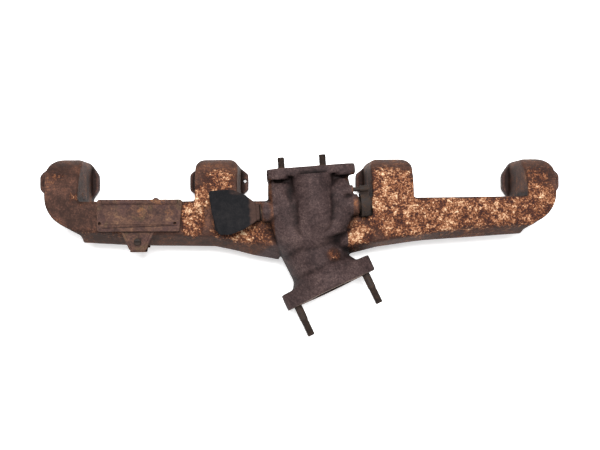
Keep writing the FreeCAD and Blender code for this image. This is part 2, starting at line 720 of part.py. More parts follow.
def bimetal_spring():
    """Spiral, tang and eye, each made of the same flat strip and joined."""
    r_in, r_out = 6.9, 15.3
    pin_r = math.hypot(ANCHOR_B, ANCHOR_Z - SHAFT_Z)
    pin_ang = math.atan2(ANCHOR_B, ANCHOR_Z - SHAFT_Z)
    slot_ang = math.pi / 2                       # the slot opens along b
    a_in = slot_ang
    a_end = pin_ang + 2 * math.pi * 3 - math.radians(2)
    n = 120
    pts = []
    for i in range(n + 1):
        f = i / n
        th = a_in + (a_end - a_in) * f
        r = r_in + (r_out - r_in) * f
        pts.append((r * math.cos(th), r * math.sin(th)))

    def P(q):
        return body_pt(SP_A0, q[1], SHAFT_Z + q[0])

    left, right = [], []
    for i, (x, y) in enumerate(pts):
        p0, p1 = pts[max(i - 1, 0)], pts[min(i + 1, n)]
        dx, dy = p1[0] - p0[0], p1[1] - p0[1]
        l = math.hypot(dx, dy)
        nx, ny = -dy / l * SP_T / 2, dx / l * SP_T / 2
        left.append((x + nx, y + ny))
        right.append((x - nx, y - ny))
    lc, rc = Part.BSplineCurve(), Part.BSplineCurve()
    lc.interpolate([P(q) for q in left])
    rc.interpolate([P(q) for q in right])
    w = Part.Wire(
        [lc.toShape(), Part.makeLine(P(left[-1]), P(right[-1])), rc.toShape(), Part.makeLine(P(right[0]), P(left[0]))]
    )
    width = SP_A1 - SP_A0
    s = Part.Face(w).extrude(body_across(width))
    # tang: from below the shaft, through the slot, out to the first turn
    tang = body(Part.makeBox(width, 4.0 + r_in + 0.4, 1.1, V(SP_A0, -4.0, SHAFT_Z - 0.55)))
    # eye round the anchor pin
    eye_c = (ANCHOR_Z - SHAFT_Z, ANCHOR_B)
    eye = Part.makeCylinder(ANCHOR_R + 0.1 + SP_T, width, body_pt(SP_A0, eye_c[1], SHAFT_Z + eye_c[0]), body_across(1.0))
    hole = Part.makeCylinder(ANCHOR_R + 0.1, width + 2, body_pt(SP_A0 - 1, eye_c[1], SHAFT_Z + eye_c[0]), body_across(1.0))
    s = s.fuse([tang, eye]).cut(hole)
    return s.removeSplitter()


def anchor_pin():
    return Part.makeCylinder(ANCHOR_R, SP_A1 + 1.5 - 38.0, body_pt(38.0, ANCHOR_B, ANCHOR_Z), body_across(1.0))


def end_clip():
    ring = across_cyl(67.95, 68.95, 8.2).cut(across_cyl(67.0, 70.0, 3.95))
    gap = local_box(66.0, 71.0, -9.0, 0.0, SHAFT_Z - 3.4, SHAFT_Z + 3.4)
    return ring.cut(gap)


# -------------------------------------------------------------- stove pieces
CV_X0, CV_X1 = -240.0, -142.0
CV_TOP, CV_BOT = -24.4, -61.6
CV_Z0, CV_Z1 = LOG_FRONT + 0.3, LOG_FRONT + 6.8
TAB_X = -194.0
TAB_Z = LOG_FRONT + 0.2                     # back of the lower tab
SCREW_Y = -73.6


def stove_cover():
    t = COVER_T
    outline = [
        (CV_X0, CV_BOT, 3.0),
        (CV_X1 - 3.5, CV_BOT, 3.0),
        (CV_X1, CV_TOP, 3.0),
        (CV_X0, CV_TOP, 3.0),
    ]
    outer = prism(outline, lambda x, y: V(x, y, CV_Z0), V(0, 0, CV_Z1 - CV_Z0))
    inner = prism(inset(outline, t), lambda x, y: V(x, y, CV_Z0 - 1), V(0, 0, CV_Z1 - CV_Z0 - t + 1))
    pan = outer.cut(inner)
    # rolled band along the top edge
    band = Part.makeCylinder(3.0, CV_X1 - CV_X0 - 12.0, V(CV_X0 + 6.0, CV_TOP - 3.2, CV_Z1 - 1.2), V(1, 0, 0))
    band = band.cut(Part.makeCylinder(1.8, 200, V(CV_X0 - 20, CV_TOP - 3.2, CV_Z1 - 1.2), V(1, 0, 0)))
    keep = box(CV_X0, CV_X1, CV_TOP - 8, CV_TOP + 8, CV_Z1 - t, CV_Z1 + 10)
    band = band.common(keep)
    # pressed bead above the lower rim
    bead = Part.makeCylinder(1.4, CV_X1 - CV_X0 - 22.0, V(CV_X0 + 9.0, -52.3, CV_Z1 - 0.4), V(1, 0, 0))
    bead = bead.common(box(CV_X0, CV_X1, -60, -40, CV_Z1 - t, CV_Z1 + 5))
    # lower tab, set back, with two ribs
    jog = prism(
        [(-214.0, CV_BOT + 1.5, 0.4), (-203.5, SCREW_Y - 10.4, 5.0), (-184.5, SCREW_Y - 10.4, 5.0), (-174.5, CV_BOT + 1.5, 0.4)],
        lambda x, y: V(x, y, TAB_Z),
        V(0, 0, t),
    )
    step = box(-213.0, -175.5, CV_BOT - 0.0, CV_BOT + t, TAB_Z, CV_Z1 - 0.5)
    rib1 = seg_rib((-211.6, CV_BOT - 0.8), (-202.8, SCREW_Y - 6.5), TAB_Z + t - 0.2)
    rib2 = seg_rib((-176.9, CV_BOT - 0.8), (-185.2, SCREW_Y - 6.5), TAB_Z + t - 0.2)
    # top tongue over the arm for the rivet
    tongue = box(-181.0, -167.0, CV_TOP - t, CV_TOP, 70.0, CV_Z1 - 1.0)
    s = pan.fuse([band, bead, jog, step, rib1, rib2, tongue])
    holes = [
        cyl((-237.0, -52.3, CV_Z0 - 5), (0, 0, 1), 1.7, 30),
        cyl((-150.6, -52.3, CV_Z0 - 5), (0, 0, 1), 1.7, 30),
        cyl((TAB_X, SCREW_Y, 60), (0, 0, 1), 2.6, 60),
        Part.makeCylinder(2.1, 20.0, V(-174.5, -40, 77.0), V(0, 1, 0)),
    ]
    holes[-1] = Part.makeCylinder(2.1, 12.0, V(-174.5, CV_TOP - 4.0, 77.0), V(0, 1, 0))
    for h in holes:
        s = s.cut(h)
    return s.removeSplitter()


def seg_rib(p, q, z):
    d = V(q[0] - p[0], q[1] - p[1], 0)
    c = Part.makeCylinder(1.3, d.Length, V(p[0], p[1], z), d)
    return c.common(box(-260, -130, -110, -20, z - 0.2, z + 3))


def stove_strap():
    """Flat band round the back of the arm, from the tab screw to the top rivet."""
    t = COVER_T
    g = 0.35
    x0, x1 = -203.0, -167.0
    top, bot = -26.0, -79.2
    # outer side of the band in (Y, Z), then its inner side
    inner = [
        (top + g, 88.0 - 18.0),
        (top + g, 43.2),
        (top - 9.0 + 0.2, LOG_BACK - g),
        (bot + 13.2, LOG_BACK - g),
        (bot - g, 45.6),
        (bot - g, 66.0),
        (-84.4, 72.0),
        (-84.4, 84.6),
    ]
    def off(points, d):
        out = []
        for i, p in enumerate(points):
            p0 = points[max(i - 1, 0)]
            p1 = points[min(i + 1, len(points) - 1)]
            def nrm(a, b):
                l = math.hypot(b[0] - a[0], b[1] - a[1])
                return ((b[1] - a[1]) / l, -(b[0] - a[0]) / l)
            if i == 0:
                n = nrm(p, p1)
            elif i == len(points) - 1:
                n = nrm(p0, p)
            else:
                n1, n2 = nrm(p0, p), nrm(p, p1)
                b = (n1[0] + n2[0], n1[1] + n2[1])
                k = 1 + n1[0] * n2[0] + n1[1] * n2[1]
                n = (b[0] / k, b[1] / k)
            out.append((p[0] + n[0] * d, p[1] + n[1] * d))
        return out
    sgn = 1.0
    o = off(inner, -t)
    # the band must grow away from the arm
    if o[1][0] < inner[1][0]:
        o = off(inner, t)
    pts = inner + o[::-1]
    w = Part.makePolygon([V(x0, y, z) for y, z in pts + [pts[0]]])
    band = Part.Face(w).extrude(V(x1 - x0, 0, 0))
    # ear that meets the cover tab; narrower than the band
    ear = prism(
        [(-203.0, -85.6, 1.0), (-185.0, -85.6, 1.0), (-185.0, -68.6, 4.0), (-203.0, -68.6, 4.0)],
        lambda x, y: V(x, y, TAB_Z - t - 0.02),
        V(0, 0, t),
    )
    link = box(-203.0, -185.0, -85.6, -84.4, 84.0, TAB_Z - 0.02)
    narrow = box(-184.9, -160.0, -100.0, -60.0, 20.0, 95.0)
    s = band.cut(narrow).fuse([ear, link])
    s = s.cut(cyl((TAB_X, SCREW_Y, 60), (0, 0, 1), 2.6, 60))
    s = s.cut(Part.makeCylinder(2.1, 12.0, V(-174.5, -30.0, 77.0), V(0, 1, 0)))
    return s.removeSplitter()


def stove_screw():
    z_face = TAB_Z + COVER_T
    head = cyl((TAB_X, SCREW_Y, z_face), (0, 0, 1), 4.3, 2.8)
    head = try_fillet(head, 1.0, lambda e: e.BoundBox.ZMin > z_face + 2.7)
    slot = box(TAB_X - 5, TAB_X + 5, SCREW_Y - 0.6, SCREW_Y + 0.6, z_face + 1.5, z_face + 4)
    shank = cyl((TAB_X, SCREW_Y, 80.2), (0, 0, 1), 2.48, z_face - 80.2 + 0.2)
    return head.cut(slot).fuse(shank).removeSplitter()


def stove_nut():
    z1 = TAB_Z - COVER_T - 0.04
    pts = [(TAB_X + 4.6 * math.cos(math.radians(60 * k)), SCREW_Y - 0.0 + 4.6 * math.sin(math.radians(60 * k)), z1 - 3.4) for k in range(6)]
    w = Part.makePolygon([V(*p) for p in pts + [pts[0]]])
    n = Part.Face(w).extrude(V(0, 0, 3.4))
    return n.cut(cyl((TAB_X, SCREW_Y, 60), (0, 0, 1), 2.5, 60))


def stove_rivet():
    y0 = -26.0 + 0.35
    base = V(-174.5, y0, 77.0)
    shank = Part.makeCylinder(2.05, CV_TOP - y0 + 0.1, base, V(0, 1, 0))
    head = Part.makeSphere(4.4, V(-174.5, CV_TOP - 1.6, 77.0))
    head = head.common(box(-190, -160, CV_TOP, CV_TOP + 10, 60, 90))
    return shank.fuse(head).removeSplitter()


# ---------------------------------------------------------------------- studs
def stud(base, axis, length, waist0, waist1):
    s = Part.makeCylinder(STUD_R, length, base, axis)
    # chamfered free end
    tip = base + axis * length
    cone = Part.makeCone(STUD_R + 0.01, STUD_R - 1.2, 1.6, tip - axis * 1.6, axis)
    s = Part.makeCylinder(STUD_R, length - 1.6, base, axis).fuse(cone)
    if waist1 > waist0:
        ring = Part.makeCylinder(STUD_R + 1, waist1 - waist0, base + axis * waist0, axis).cut(
            Part.makeCylinder(STUD_R - 0.45, waist1 - waist0, base + axis * waist0, axis)
        )
        s = s.cut(ring)
    return s.removeSplitter()


def riser_studs():
    d = body_dir(1.0)
    return Part.makeCompound(
        [stud(body_pt(a, RISER_TOP - 13.8, RISER_STUD_Z), d, 13.8 + RISER_STUD_UP, 14.6, 18.0) for a in RISER_STUD_A]
    )


def outlet_studs():
    return Part.makeCompound(
        [
            stud(OUT_P + OUT_U * (s * OUT_STUD) - OUT_N * 15.8, OUT_N, 15.8 + OUT_STUD_LEN, 17.0, 31.0)
            for s in (-1, 1)
        ]
    )


# --------------------------------------------------------- lay down and save
nodes = {}
nodes["manifold_casting"] = casting()
nodes["valve_shaft"] = valve_shaft()
nodes["valve_plate"] = valve_plate()
nodes["valve_plate_screws"] = valve_screws()
nodes["shaft_bush_left"] = bush(-58.0, -1)
nodes["shaft_bush_right"] = bush(55.0 - BUSH_LEN, 1)
nodes["thrust_washer_left"] = thrust_washer(-59.0, 1.0)
nodes["thrust_washer_right"] = thrust_washer(55.0, 1.0)
nodes["counterweight"] = counterweight()
nodes["counterweight_pin"] = counterweight_pin()
nodes["bimetal_spring"] = bimetal_spring()
nodes["spring_anchor_pin"] = anchor_pin()
nodes["shaft_end_clip"] = end_clip()
nodes["stove_cover"] = stove_cover()
nodes["stove_strap"] = stove_strap()
nodes["stove_screw"] = stove_screw()
nodes["stove_nut"] = stove_nut()
nodes["stove_rivet"] = stove_rivet()
nodes["riser_studs"] = riser_studs()
nodes["outlet_studs"] = outlet_studs()


# the lean at which the outlet flange and the port flange edges stand level
def lowest(points, ang):
    s, c = math.sin(ang), math.cos(ang)
    return min(p.y * s + p.z * c for p in points)


def mesh_points(shape, tol=0.3):
    return shape.tessellate(tol)[0]


rest = mesh_points(nodes["manifold_casting"]) + mesh_points(nodes["outlet_studs"], 0.1)
port_side = [p for p in rest if p.y > -40]
outlet_side = [p for p in rest if p.y < -95]
lo, hi = math.radians(2), math.radians(40)
for _ in range(60):
    m = (lo + hi) / 2
    if lowest(outlet_side, m) > lowest(port_side, m):
        lo = m
    else:
        hi = m
LEAN = math.degrees((lo + hi) / 2)


def laid(shape):
    s = shape.copy()
    s.rotate(V(0, 0, 0), V(1, 0, 0), LEAN)
    return s


laid_nodes = {k: laid(v) for k, v in nodes.items()}
bb = None
for s in laid_nodes.values():
    b = s.optimalBoundingBox() if hasattr(s, "optimalBoundingBox") else s.BoundBox
    if bb is None:
        bb = FreeCAD.BoundBox(b)
    else:
        bb.add(b)
SHIFT = V(-(bb.XMin + bb.XMax) / 2, -(bb.YMin + bb.YMax) / 2, -bb.ZMin)


def placed(shape):
    s = shape.copy()
    s.translate(SHIFT)
    return s


def placed_point(p):
    c, s = math.cos(math.radians(LEAN)), math.sin(math.radians(LEAN))
    return V(p.x, p.y * c - p.z * s, p.y * s + p.z * c) + SHIFT


def placed_dir(d):
    c, s = math.cos(math.radians(LEAN)), math.sin(math.radians(LEAN))
    return V(d.x, d.y * c - d.z * s, d.y * s + d.z * c)


os.makedirs("parts", exist_ok=True)
for name, shape in laid_nodes.items():
    out = placed(shape)
    out.exportStep("parts/" + name + ".step")
    print(
        "%-22s solids %d valid %s volume %.1f box %s"
        % (
            name,
            len(out.Solids),
            out.isValid(),
            out.Volume,
            " ".join("%.2f" % v for v in (out.BoundBox.XMin, out.BoundBox.YMin, out.BoundBox.ZMin, out.BoundBox.XMax, out.BoundBox.YMax, out.BoundBox.ZMax)),
        )
    )


def tell(label, p, d=None):
    q = placed_point(p)
    line = "%-22s pos_m [%.6f, %.6f, %.6f]" % (label, q.x / 1000, q.y / 1000, q.z / 1000)
    if d is not None:
        e = placed_dir(d)
        e = e.normalize() if hasattr(e, "normalize") else e
        line += " axis [%.6f, %.6f, %.6f]" % (e.x, e.y, e.z)
    print(line)


print("lean %.4f deg  shift %.4f %.4f %.4f" % (LEAN, SHIFT.x, SHIFT.y, SHIFT.z))
for i, x in enumerate(PORT_X):
    tell("port_%d_face" % (i + 1), V(x, -22.5, 0), V(0, 0, -1))
    tell("port_%d_bore" % (i + 1), V(x, 0, PORT_BORE_LEN / 2), V(0, 0, -1))
tell("riser_face", body_pt(RISER_A, RISER_TOP, 98.0), body_dir(1.0))
tell("riser_stud_mid", body_pt(sum(RISER_STUD_A) / 2, RISER_TOP, RISER_STUD_Z), body_dir(1.0))
tell("riser_hole_mid", body_pt(RISER_A, RISER_TOP, RISER_HOLE_Z), body_dir(1.0))
tell("outlet_face", OUT_P + OUT_W * 34.0, OUT_N)
tell("outlet_bore", along(OUT_BORE_LEN / 2), OUT_N)
tell("outlet_middle", OUT_P, OUT_N)
tell("shaft_axis", body_pt(0, 0, SHAFT_Z), body_across(1.0))
tell("bush_left_mid", body_pt(-52.0, 0, SHAFT_Z), body_across(1.0))
tell("anchor", body_pt(38.0, ANCHOR_B, ANCHOR_Z), body_across(1.0))
tell("riser_open_mid", body_pt(RISER_A, RISER_TOP, 57.0), body_dir(1.0))
tell("tab_screw", V(TAB_X, SCREW_Y, TAB_Z + COVER_T), V(0, 0, 1))
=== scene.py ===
import json
import math

import bmesh
import bpy
import numpy as np
from mathutils import Matrix, Vector


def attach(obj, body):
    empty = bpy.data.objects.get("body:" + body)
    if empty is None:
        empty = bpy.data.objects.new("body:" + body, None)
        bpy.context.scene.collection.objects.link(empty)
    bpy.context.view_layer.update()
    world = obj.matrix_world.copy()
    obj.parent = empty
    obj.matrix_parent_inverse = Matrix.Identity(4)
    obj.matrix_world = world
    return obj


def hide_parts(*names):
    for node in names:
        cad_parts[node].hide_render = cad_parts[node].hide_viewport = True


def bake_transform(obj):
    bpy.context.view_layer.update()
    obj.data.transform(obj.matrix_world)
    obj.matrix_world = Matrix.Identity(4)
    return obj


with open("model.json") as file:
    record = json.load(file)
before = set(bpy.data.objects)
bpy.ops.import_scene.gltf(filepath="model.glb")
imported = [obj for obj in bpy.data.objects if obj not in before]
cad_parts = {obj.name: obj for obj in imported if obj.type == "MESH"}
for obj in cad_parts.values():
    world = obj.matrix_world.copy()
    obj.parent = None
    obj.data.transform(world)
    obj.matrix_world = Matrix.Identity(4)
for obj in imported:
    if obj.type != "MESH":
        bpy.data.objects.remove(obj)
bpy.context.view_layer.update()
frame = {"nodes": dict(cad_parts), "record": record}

NODES = frame["nodes"]
REC = frame["record"]

# ------------------------------------------------------------ the head frame
# The part was drawn on its cylinder head face: X along the engine, Y up it and
# Z away from it, in mm. These turn a point of that frame into the row frame.
mounts = {m["name"]: m for m in REC["mounts"]}
_a = mounts["port_1_face"]["axis"]
_b = mounts["port_1_bore"]["pos_m"]
LS, LC = _a[1], -_a[2]
SH = np.array([0.0, _b[1] + 0.007 * LS, _b[2] - 0.007 * LC])
LEAN = math.atan2(LS, LC)
TILT = math.radians(4.25)
BX, BY = 7.0, -35.35


def head(p):
    """head frame mm -> row frame m"""
    p = np.asarray(p, float)
    x, y, z = p[..., 0], p[..., 1], p[..., 2]
    return np.stack([x, y * LC - z * LS, y * LS + z * LC], -1) / 1000 + SH


def unhead(p):
    """row frame m -> head frame mm"""
    q = (np.asarray(p, float) - SH) * 1000
    x, y, z = q[..., 0], q[..., 1], q[..., 2]
    return np.stack([x, y * LC + z * LS, -y * LS + z * LC], -1)


def head_dir(d):
    x, y, z = d
    return np.array([x, y * LC - z * LS, y * LS + z * LC])


def head_dir_inv(d):
    x, y, z = d
    return np.array([x, y * LC + z * LS, -y * LS + z * LC])


OUT_P = np.array([32.0, -132.0, 70.0])
OUT_N = head_dir_inv(mounts["outlet_face"]["axis"])
OUT_U = np.array([math.cos(math.radians(25.0)), math.sin(math.radians(25.0)), 0.0])


def bodyf(p):
    """centre body frame mm (a across, b up, c out) -> head frame mm"""
    p = np.asarray(p, float)
    a, b, c = p[..., 0], p[..., 1], p[..., 2]
    return np.stack([BX + a * math.cos(TILT) - b * math.sin(TILT), BY + a * math.sin(TILT) + b * math.cos(TILT), c], -1)


def unbody(q):
    q = np.asarray(q, float)
    x, y = q[..., 0] - BX, q[..., 1] - BY
    return np.stack([x * math.cos(TILT) + y * math.sin(TILT), -x * math.sin(TILT) + y * math.cos(TILT), q[..., 2]], -1)


def smooth01(x, a, b):
    t = np.clip((x - a) / (b - a), 0, 1)
    return t * t * (3 - 2 * t)


# ---------------------------------------------------------------------- noise
def vnoise(p, seed):
    """Smooth value noise, -1 to 1, at points p in lattice units."""
    i = np.floor(p).astype(np.int64)
    f = p - i
    u = f * f * f * (f * (f * 6 - 15) + 10)

    def h(ix, iy, iz):
        n = (ix * 73856093) ^ (iy * 19349663) ^ (iz * 83492791) ^ (seed * 2971215073)
        n = (n ^ (n >> 13)) & 0xFFFFFFFF
        n = (n * 1274126177) & 0xFFFFFFFF
        n = (n ^ (n >> 16)) & 0xFFFF
        return n / 32767.5 - 1.0

    out = np.zeros(len(p))
    for dx in (0, 1):
        wx = u[:, 0] if dx else 1 - u[:, 0]
        for dy in (0, 1):
            wy = u[:, 1] if dy else 1 - u[:, 1]
            for dz in (0, 1):
                wz = u[:, 2] if dz else 1 - u[:, 2]
                out += wx * wy * wz * h(i[:, 0] + dx, i[:, 1] + dy, i[:, 2] + dz)
    return out


def fbm(p, size, seed, octaves=3, rough=0.5):
    """Layered noise, about -1 to 1; p in mm, size of the largest lumps in mm."""
    out, amp, tot = np.zeros(len(p)), 1.0, 0.0
    for o in range(octaves):
        out += amp * vnoise(p / size * 2.0 ** o + 17.3 * o, seed + o)
        tot += amp
        amp *= rough
    return out / tot


# ---------------------------------------------------------------- mesh helpers
def link(name, mesh):
    o = bpy.data.objects.new(name, mesh)
    bpy.context.scene.collection.objects.link(o)
    return o


def co_of(me):
    a = np.empty(len(me.vertices) * 3, np.float32)
    me.vertices.foreach_get("co", a)
    return a.reshape(-1, 3).astype(float)


def set_co(me, co):
    me.vertices.foreach_set("co", co.astype(np.float32).ravel())
    me.update()


def normals_of(me):
    a = np.empty(len(me.vertices) * 3, np.float32)
    me.vertex_normals.foreach_get("vector", a)
    return a.reshape(-1, 3).astype(float)


def edges_of(me):
    e = np.empty(len(me.edges) * 2, np.int32)
    me.edges.foreach_get("vertices", e)
    return e.reshape(-1, 2)


def mean_near(v, e, deg):
    """Mean of the neighbours of every vertex, for an (N, k) array."""
    out = np.empty_like(v)
    n = len(v)
    for k in range(v.shape[1]):
        c = v[:, k]
        out[:, k] = np.bincount(e[:, 0], c[e[:, 1]], n) + np.bincount(e[:, 1], c[e[:, 0]], n)
    return out / deg[:, None]


def attribute(me, name, values):
    at = me.attributes.get(name) or me.attributes.new(name, "FLOAT", "POINT")
    at.data.foreach_set("value", np.asarray(values, np.float32))


def smooth_shade(me, angle=None):
    me.polygons.foreach_set("use_smooth", np.ones(len(me.polygons), bool))
    if angle is not None:
        me.set_sharp_from_angle(angle=math.radians(angle))
    me.update()


def welded(node):
    me = NODES[node].data.copy()
    bm = bmesh.new()
    bm.from_mesh(me)
    bmesh.ops.remove_doubles(bm, verts=bm.verts, dist=2e-6)
    bmesh.ops.triangulate(bm, faces=bm.faces)
    bm.to_mesh(me)
    bm.free()
    if me.has_custom_normals:
        me.free_normals_split() if hasattr(me, "free_normals_split") else None
    return me


def remeshed(node, name, voxel):
    """A new object with an even mesh of the CAD node's shape."""
    me = welded(node)
    o = link(name, me)
    me.materials.clear()
    m = o.modifiers.new("even", "REMESH")
    m.mode = "VOXEL"
    m.voxel_size = voxel
    m.adaptivity = 0
    dg = bpy.context.evaluated_depsgraph_get()
    new = bpy.data.meshes.new_from_object(o.evaluated_get(dg), preserve_all_data_layers=False, depsgraph=dg)
    o.modifiers.clear()
    o.data = new
    new.name = name
    bpy.data.meshes.remove(me)
    return o


def soften(o, rounds, keep=None, factor=0.5):
    """Even out the mesh, rounding its edges; keep is 1 where a vertex stays."""
    me = o.data
    co, e = co_of(me), edges_of(me)
    deg = np.maximum(np.bincount(e.ravel(), minlength=len(co)), 1)
    w = factor if keep is None else factor * (1 - keep)[:, None]
    for _ in range(rounds):
        co = co + w * (mean_near(co, e, deg) - co)
    set_co(me, co)
    return co


def curvature(me, rounds=2):
    """About -1 in hollows to 1 on edges."""
    co, e, n = co_of(me), edges_of(me), normals_of(me)
    deg = np.maximum(np.bincount(e.ravel(), minlength=len(co)), 1)
    m = co.copy()
    for _ in range(rounds):
        m = mean_near(m, e, deg)
    c = ((co - m) * n).sum(1)
    s = np.percentile(np.abs(c), 97) + 1e-9
    c = np.clip(c / s, -1, 1)[:, None]
    for _ in range(2):
        c = 0.5 * c + 0.5 * mean_near(c, e, deg)
    return c[:, 0]


def hollows(me, rounds):
    """About -1 in broad hollows to 1 on broad crowns, over a few mm."""
    co, e, n = co_of(me), edges_of(me), normals_of(me)
    deg = np.maximum(np.bincount(e.ravel(), minlength=len(co)), 1)
    m = co.copy()
    for _ in range(rounds):
        m = 0.3 * m + 0.7 * mean_near(m, e, deg)
    return np.clip(((co - m) * n).sum(1) * 1000 / 1.1, -1, 1)


# ------------------------------------------------------------------- materials
def srgb(r, g, b, k=1.0):
    def lin(v):
        v = v / 255
        return (v / 12.92 if v <= 0.04045 else ((v + 0.055) / 1.055) ** 2.4) * k
    return (lin(r), lin(g), lin(b), 1.0)


LIT = 0.66                          # how much of a colour the light gives back


def tone(r, g, b):
    return srgb(r, g, b, LIT)


class Mat:
    """A small builder of node materials. Coordinates are head frame mm."""

    def __init__(self, name):
        self.m = bpy.data.materials.new(name)
        self.m.use_nodes = True
        self.t = self.m.node_tree
        self.bsdf = self.t.nodes["Principled BSDF"]
        self.tc = self.t.nodes.new("ShaderNodeTexCoord")
        mp = self.t.nodes.new("ShaderNodeMapping")
        mp.vector_type = "TEXTURE"
        mp.inputs["Location"].default_value = tuple(SH)
        mp.inputs["Rotation"].default_value = (LEAN, 0, 0)
        mp.inputs["Scale"].default_value = (0.001, 0.001, 0.001)
        self.t.links.new(self.tc.outputs["Object"], mp.inputs["Vector"])
        self.p = mp.outputs["Vector"]

    def link(self, a, b):
        self.t.links.new(a, b)

    def put(self, sock, v):
        if isinstance(v, bpy.types.NodeSocket):
            self.link(v, sock)
        else:
            sock.default_value = v

    def noise(self, size, detail=3, rough=0.55, dist=0.0, vec=None, lac=2.0):
        n = self.t.nodes.new("ShaderNodeTexNoise")
        n.inputs["Scale"].default_value = 1.0 / size
        n.inputs["Detail"].default_value = detail
        n.inputs["Roughness"].default_value = rough
        n.inputs["Lacunarity"].default_value = lac
        n.inputs["Distortion"].default_value = dist
        self.link(vec or self.p, n.inputs["Vector"])
        return n.outputs["Fac"]

    def noise_vec(self, size, detail=2):
        n = self.t.nodes.new("ShaderNodeTexNoise")
        n.inputs["Scale"].default_value = 1.0 / size
        n.inputs["Detail"].default_value = detail
        self.link(self.p, n.inputs["Vector"])
        return n.outputs["Color"]

    def cells(self, size, feature="F1", vec=None, rand=1.0):
        n = self.t.nodes.new("ShaderNodeTexVoronoi")
        n.feature = feature
        n.inputs["Scale"].default_value = 1.0 / size
        n.inputs["Randomness"].default_value = rand
        self.link(vec or self.p, n.inputs["Vector"])
        return n.outputs["Distance"]

    def stretched(self, x, y, z):
        n = self.t.nodes.new("ShaderNodeMapping")
        n.inputs["Scale"].default_value = (x, y, z)
        self.link(self.p, n.inputs["Vector"])
        return n.outputs["Vector"]

    def warped(self, size, amount):
        """Coordinates pushed about by a soft noise."""
        c = self.noise_vec(size)
        s = self.t.nodes.new("ShaderNodeVectorMath")
        s.operation = "MULTIPLY_ADD"
        self.link(c, s.inputs[0])
        s.inputs[1].default_value = (amount,) * 3
        self.link(self.p, s.inputs[2])
        return s.outputs[0]

    def attr(self, name):
        n = self.t.nodes.new("ShaderNodeAttribute")
        n.attribute_name = name
        return n.outputs["Fac"]

    def math(self, op, a, b=None, c=None, clamp=False):
        n = self.t.nodes.new("ShaderNodeMath")
        n.operation = op
        n.use_clamp = clamp
        for i, v in enumerate((a, b, c)):
            if v is not None:
                self.put(n.inputs[i], v)
        return n.outputs[0]

    def add(self, *terms):
        """Sum of (value, weight) pairs and plain numbers."""
        out = None
        for t in terms:
            if isinstance(t, tuple):
                v, w = t
                out = self.math("MULTIPLY", v, w) if out is None else self.math("MULTIPLY_ADD", v, w, out)
            else:
                out = self.math("ADD", out, t) if out is not None else t
        return out

    def step(self, v, a, b, lo=0.0, hi=1.0):
        n = self.t.nodes.new("ShaderNodeMapRange")
        n.interpolation_type = "SMOOTHSTEP"
        self.put(n.inputs["Value"], v)
        n.inputs["From Min"].default_value = a
        n.inputs["From Max"].default_value = b
        n.inputs["To Min"].default_value = lo
        n.inputs["To Max"].default_value = hi
        return n.outputs["Result"]

    def ramp(self, v, stops, mode="LINEAR"):
        n = self.t.nodes.new("ShaderNodeValToRGB")
        n.color_ramp.interpolation = mode
        els = n.color_ramp.elements
        while len(els) > 1:
            els.remove(els[-1])
        els[0].position, els[0].color = stops[0][0], stops[0][1]
        for pos, col in stops[1:]:
            e = els.new(pos)
            e.color = col
        self.link(v, n.inputs["Fac"])
        return n.outputs["Color"]

    def mix(self, f, a, b, mode="MIX"):
        n = self.t.nodes.new("ShaderNodeMix")
        n.data_type = "RGBA"
        n.blend_type = mode
        n.clamp_factor = True
        self.put(n.inputs[0], f)
        self.put(n.inputs[6], a)
        self.put(n.inputs[7], b)
        return n.outputs[2]

    def bump(self, h, dist, strength=1.0, normal=None):
        n = self.t.nodes.new("ShaderNodeBump")
        n.inputs["Distance"].default_value = dist
        n.inputs["Strength"].default_value = strength
        self.link(h, n.inputs["Height"])
        if normal is not None:
            self.link(normal, n.inputs["Normal"])
        return n.outputs["Normal"]

    def done(self, color, rough, normal, spec=0.3, metal=0.0):
        b = self.bsdf
        self.link(color, b.inputs["Base Color"])
        self.put(b.inputs["Roughness"], rough)
        self.put(b.inputs["Metallic"], metal)
        b.inputs["Specular IOR Level"].default_value = spec
        if normal is not None:
            self.link(normal, b.inputs["Normal"])
        return self.m


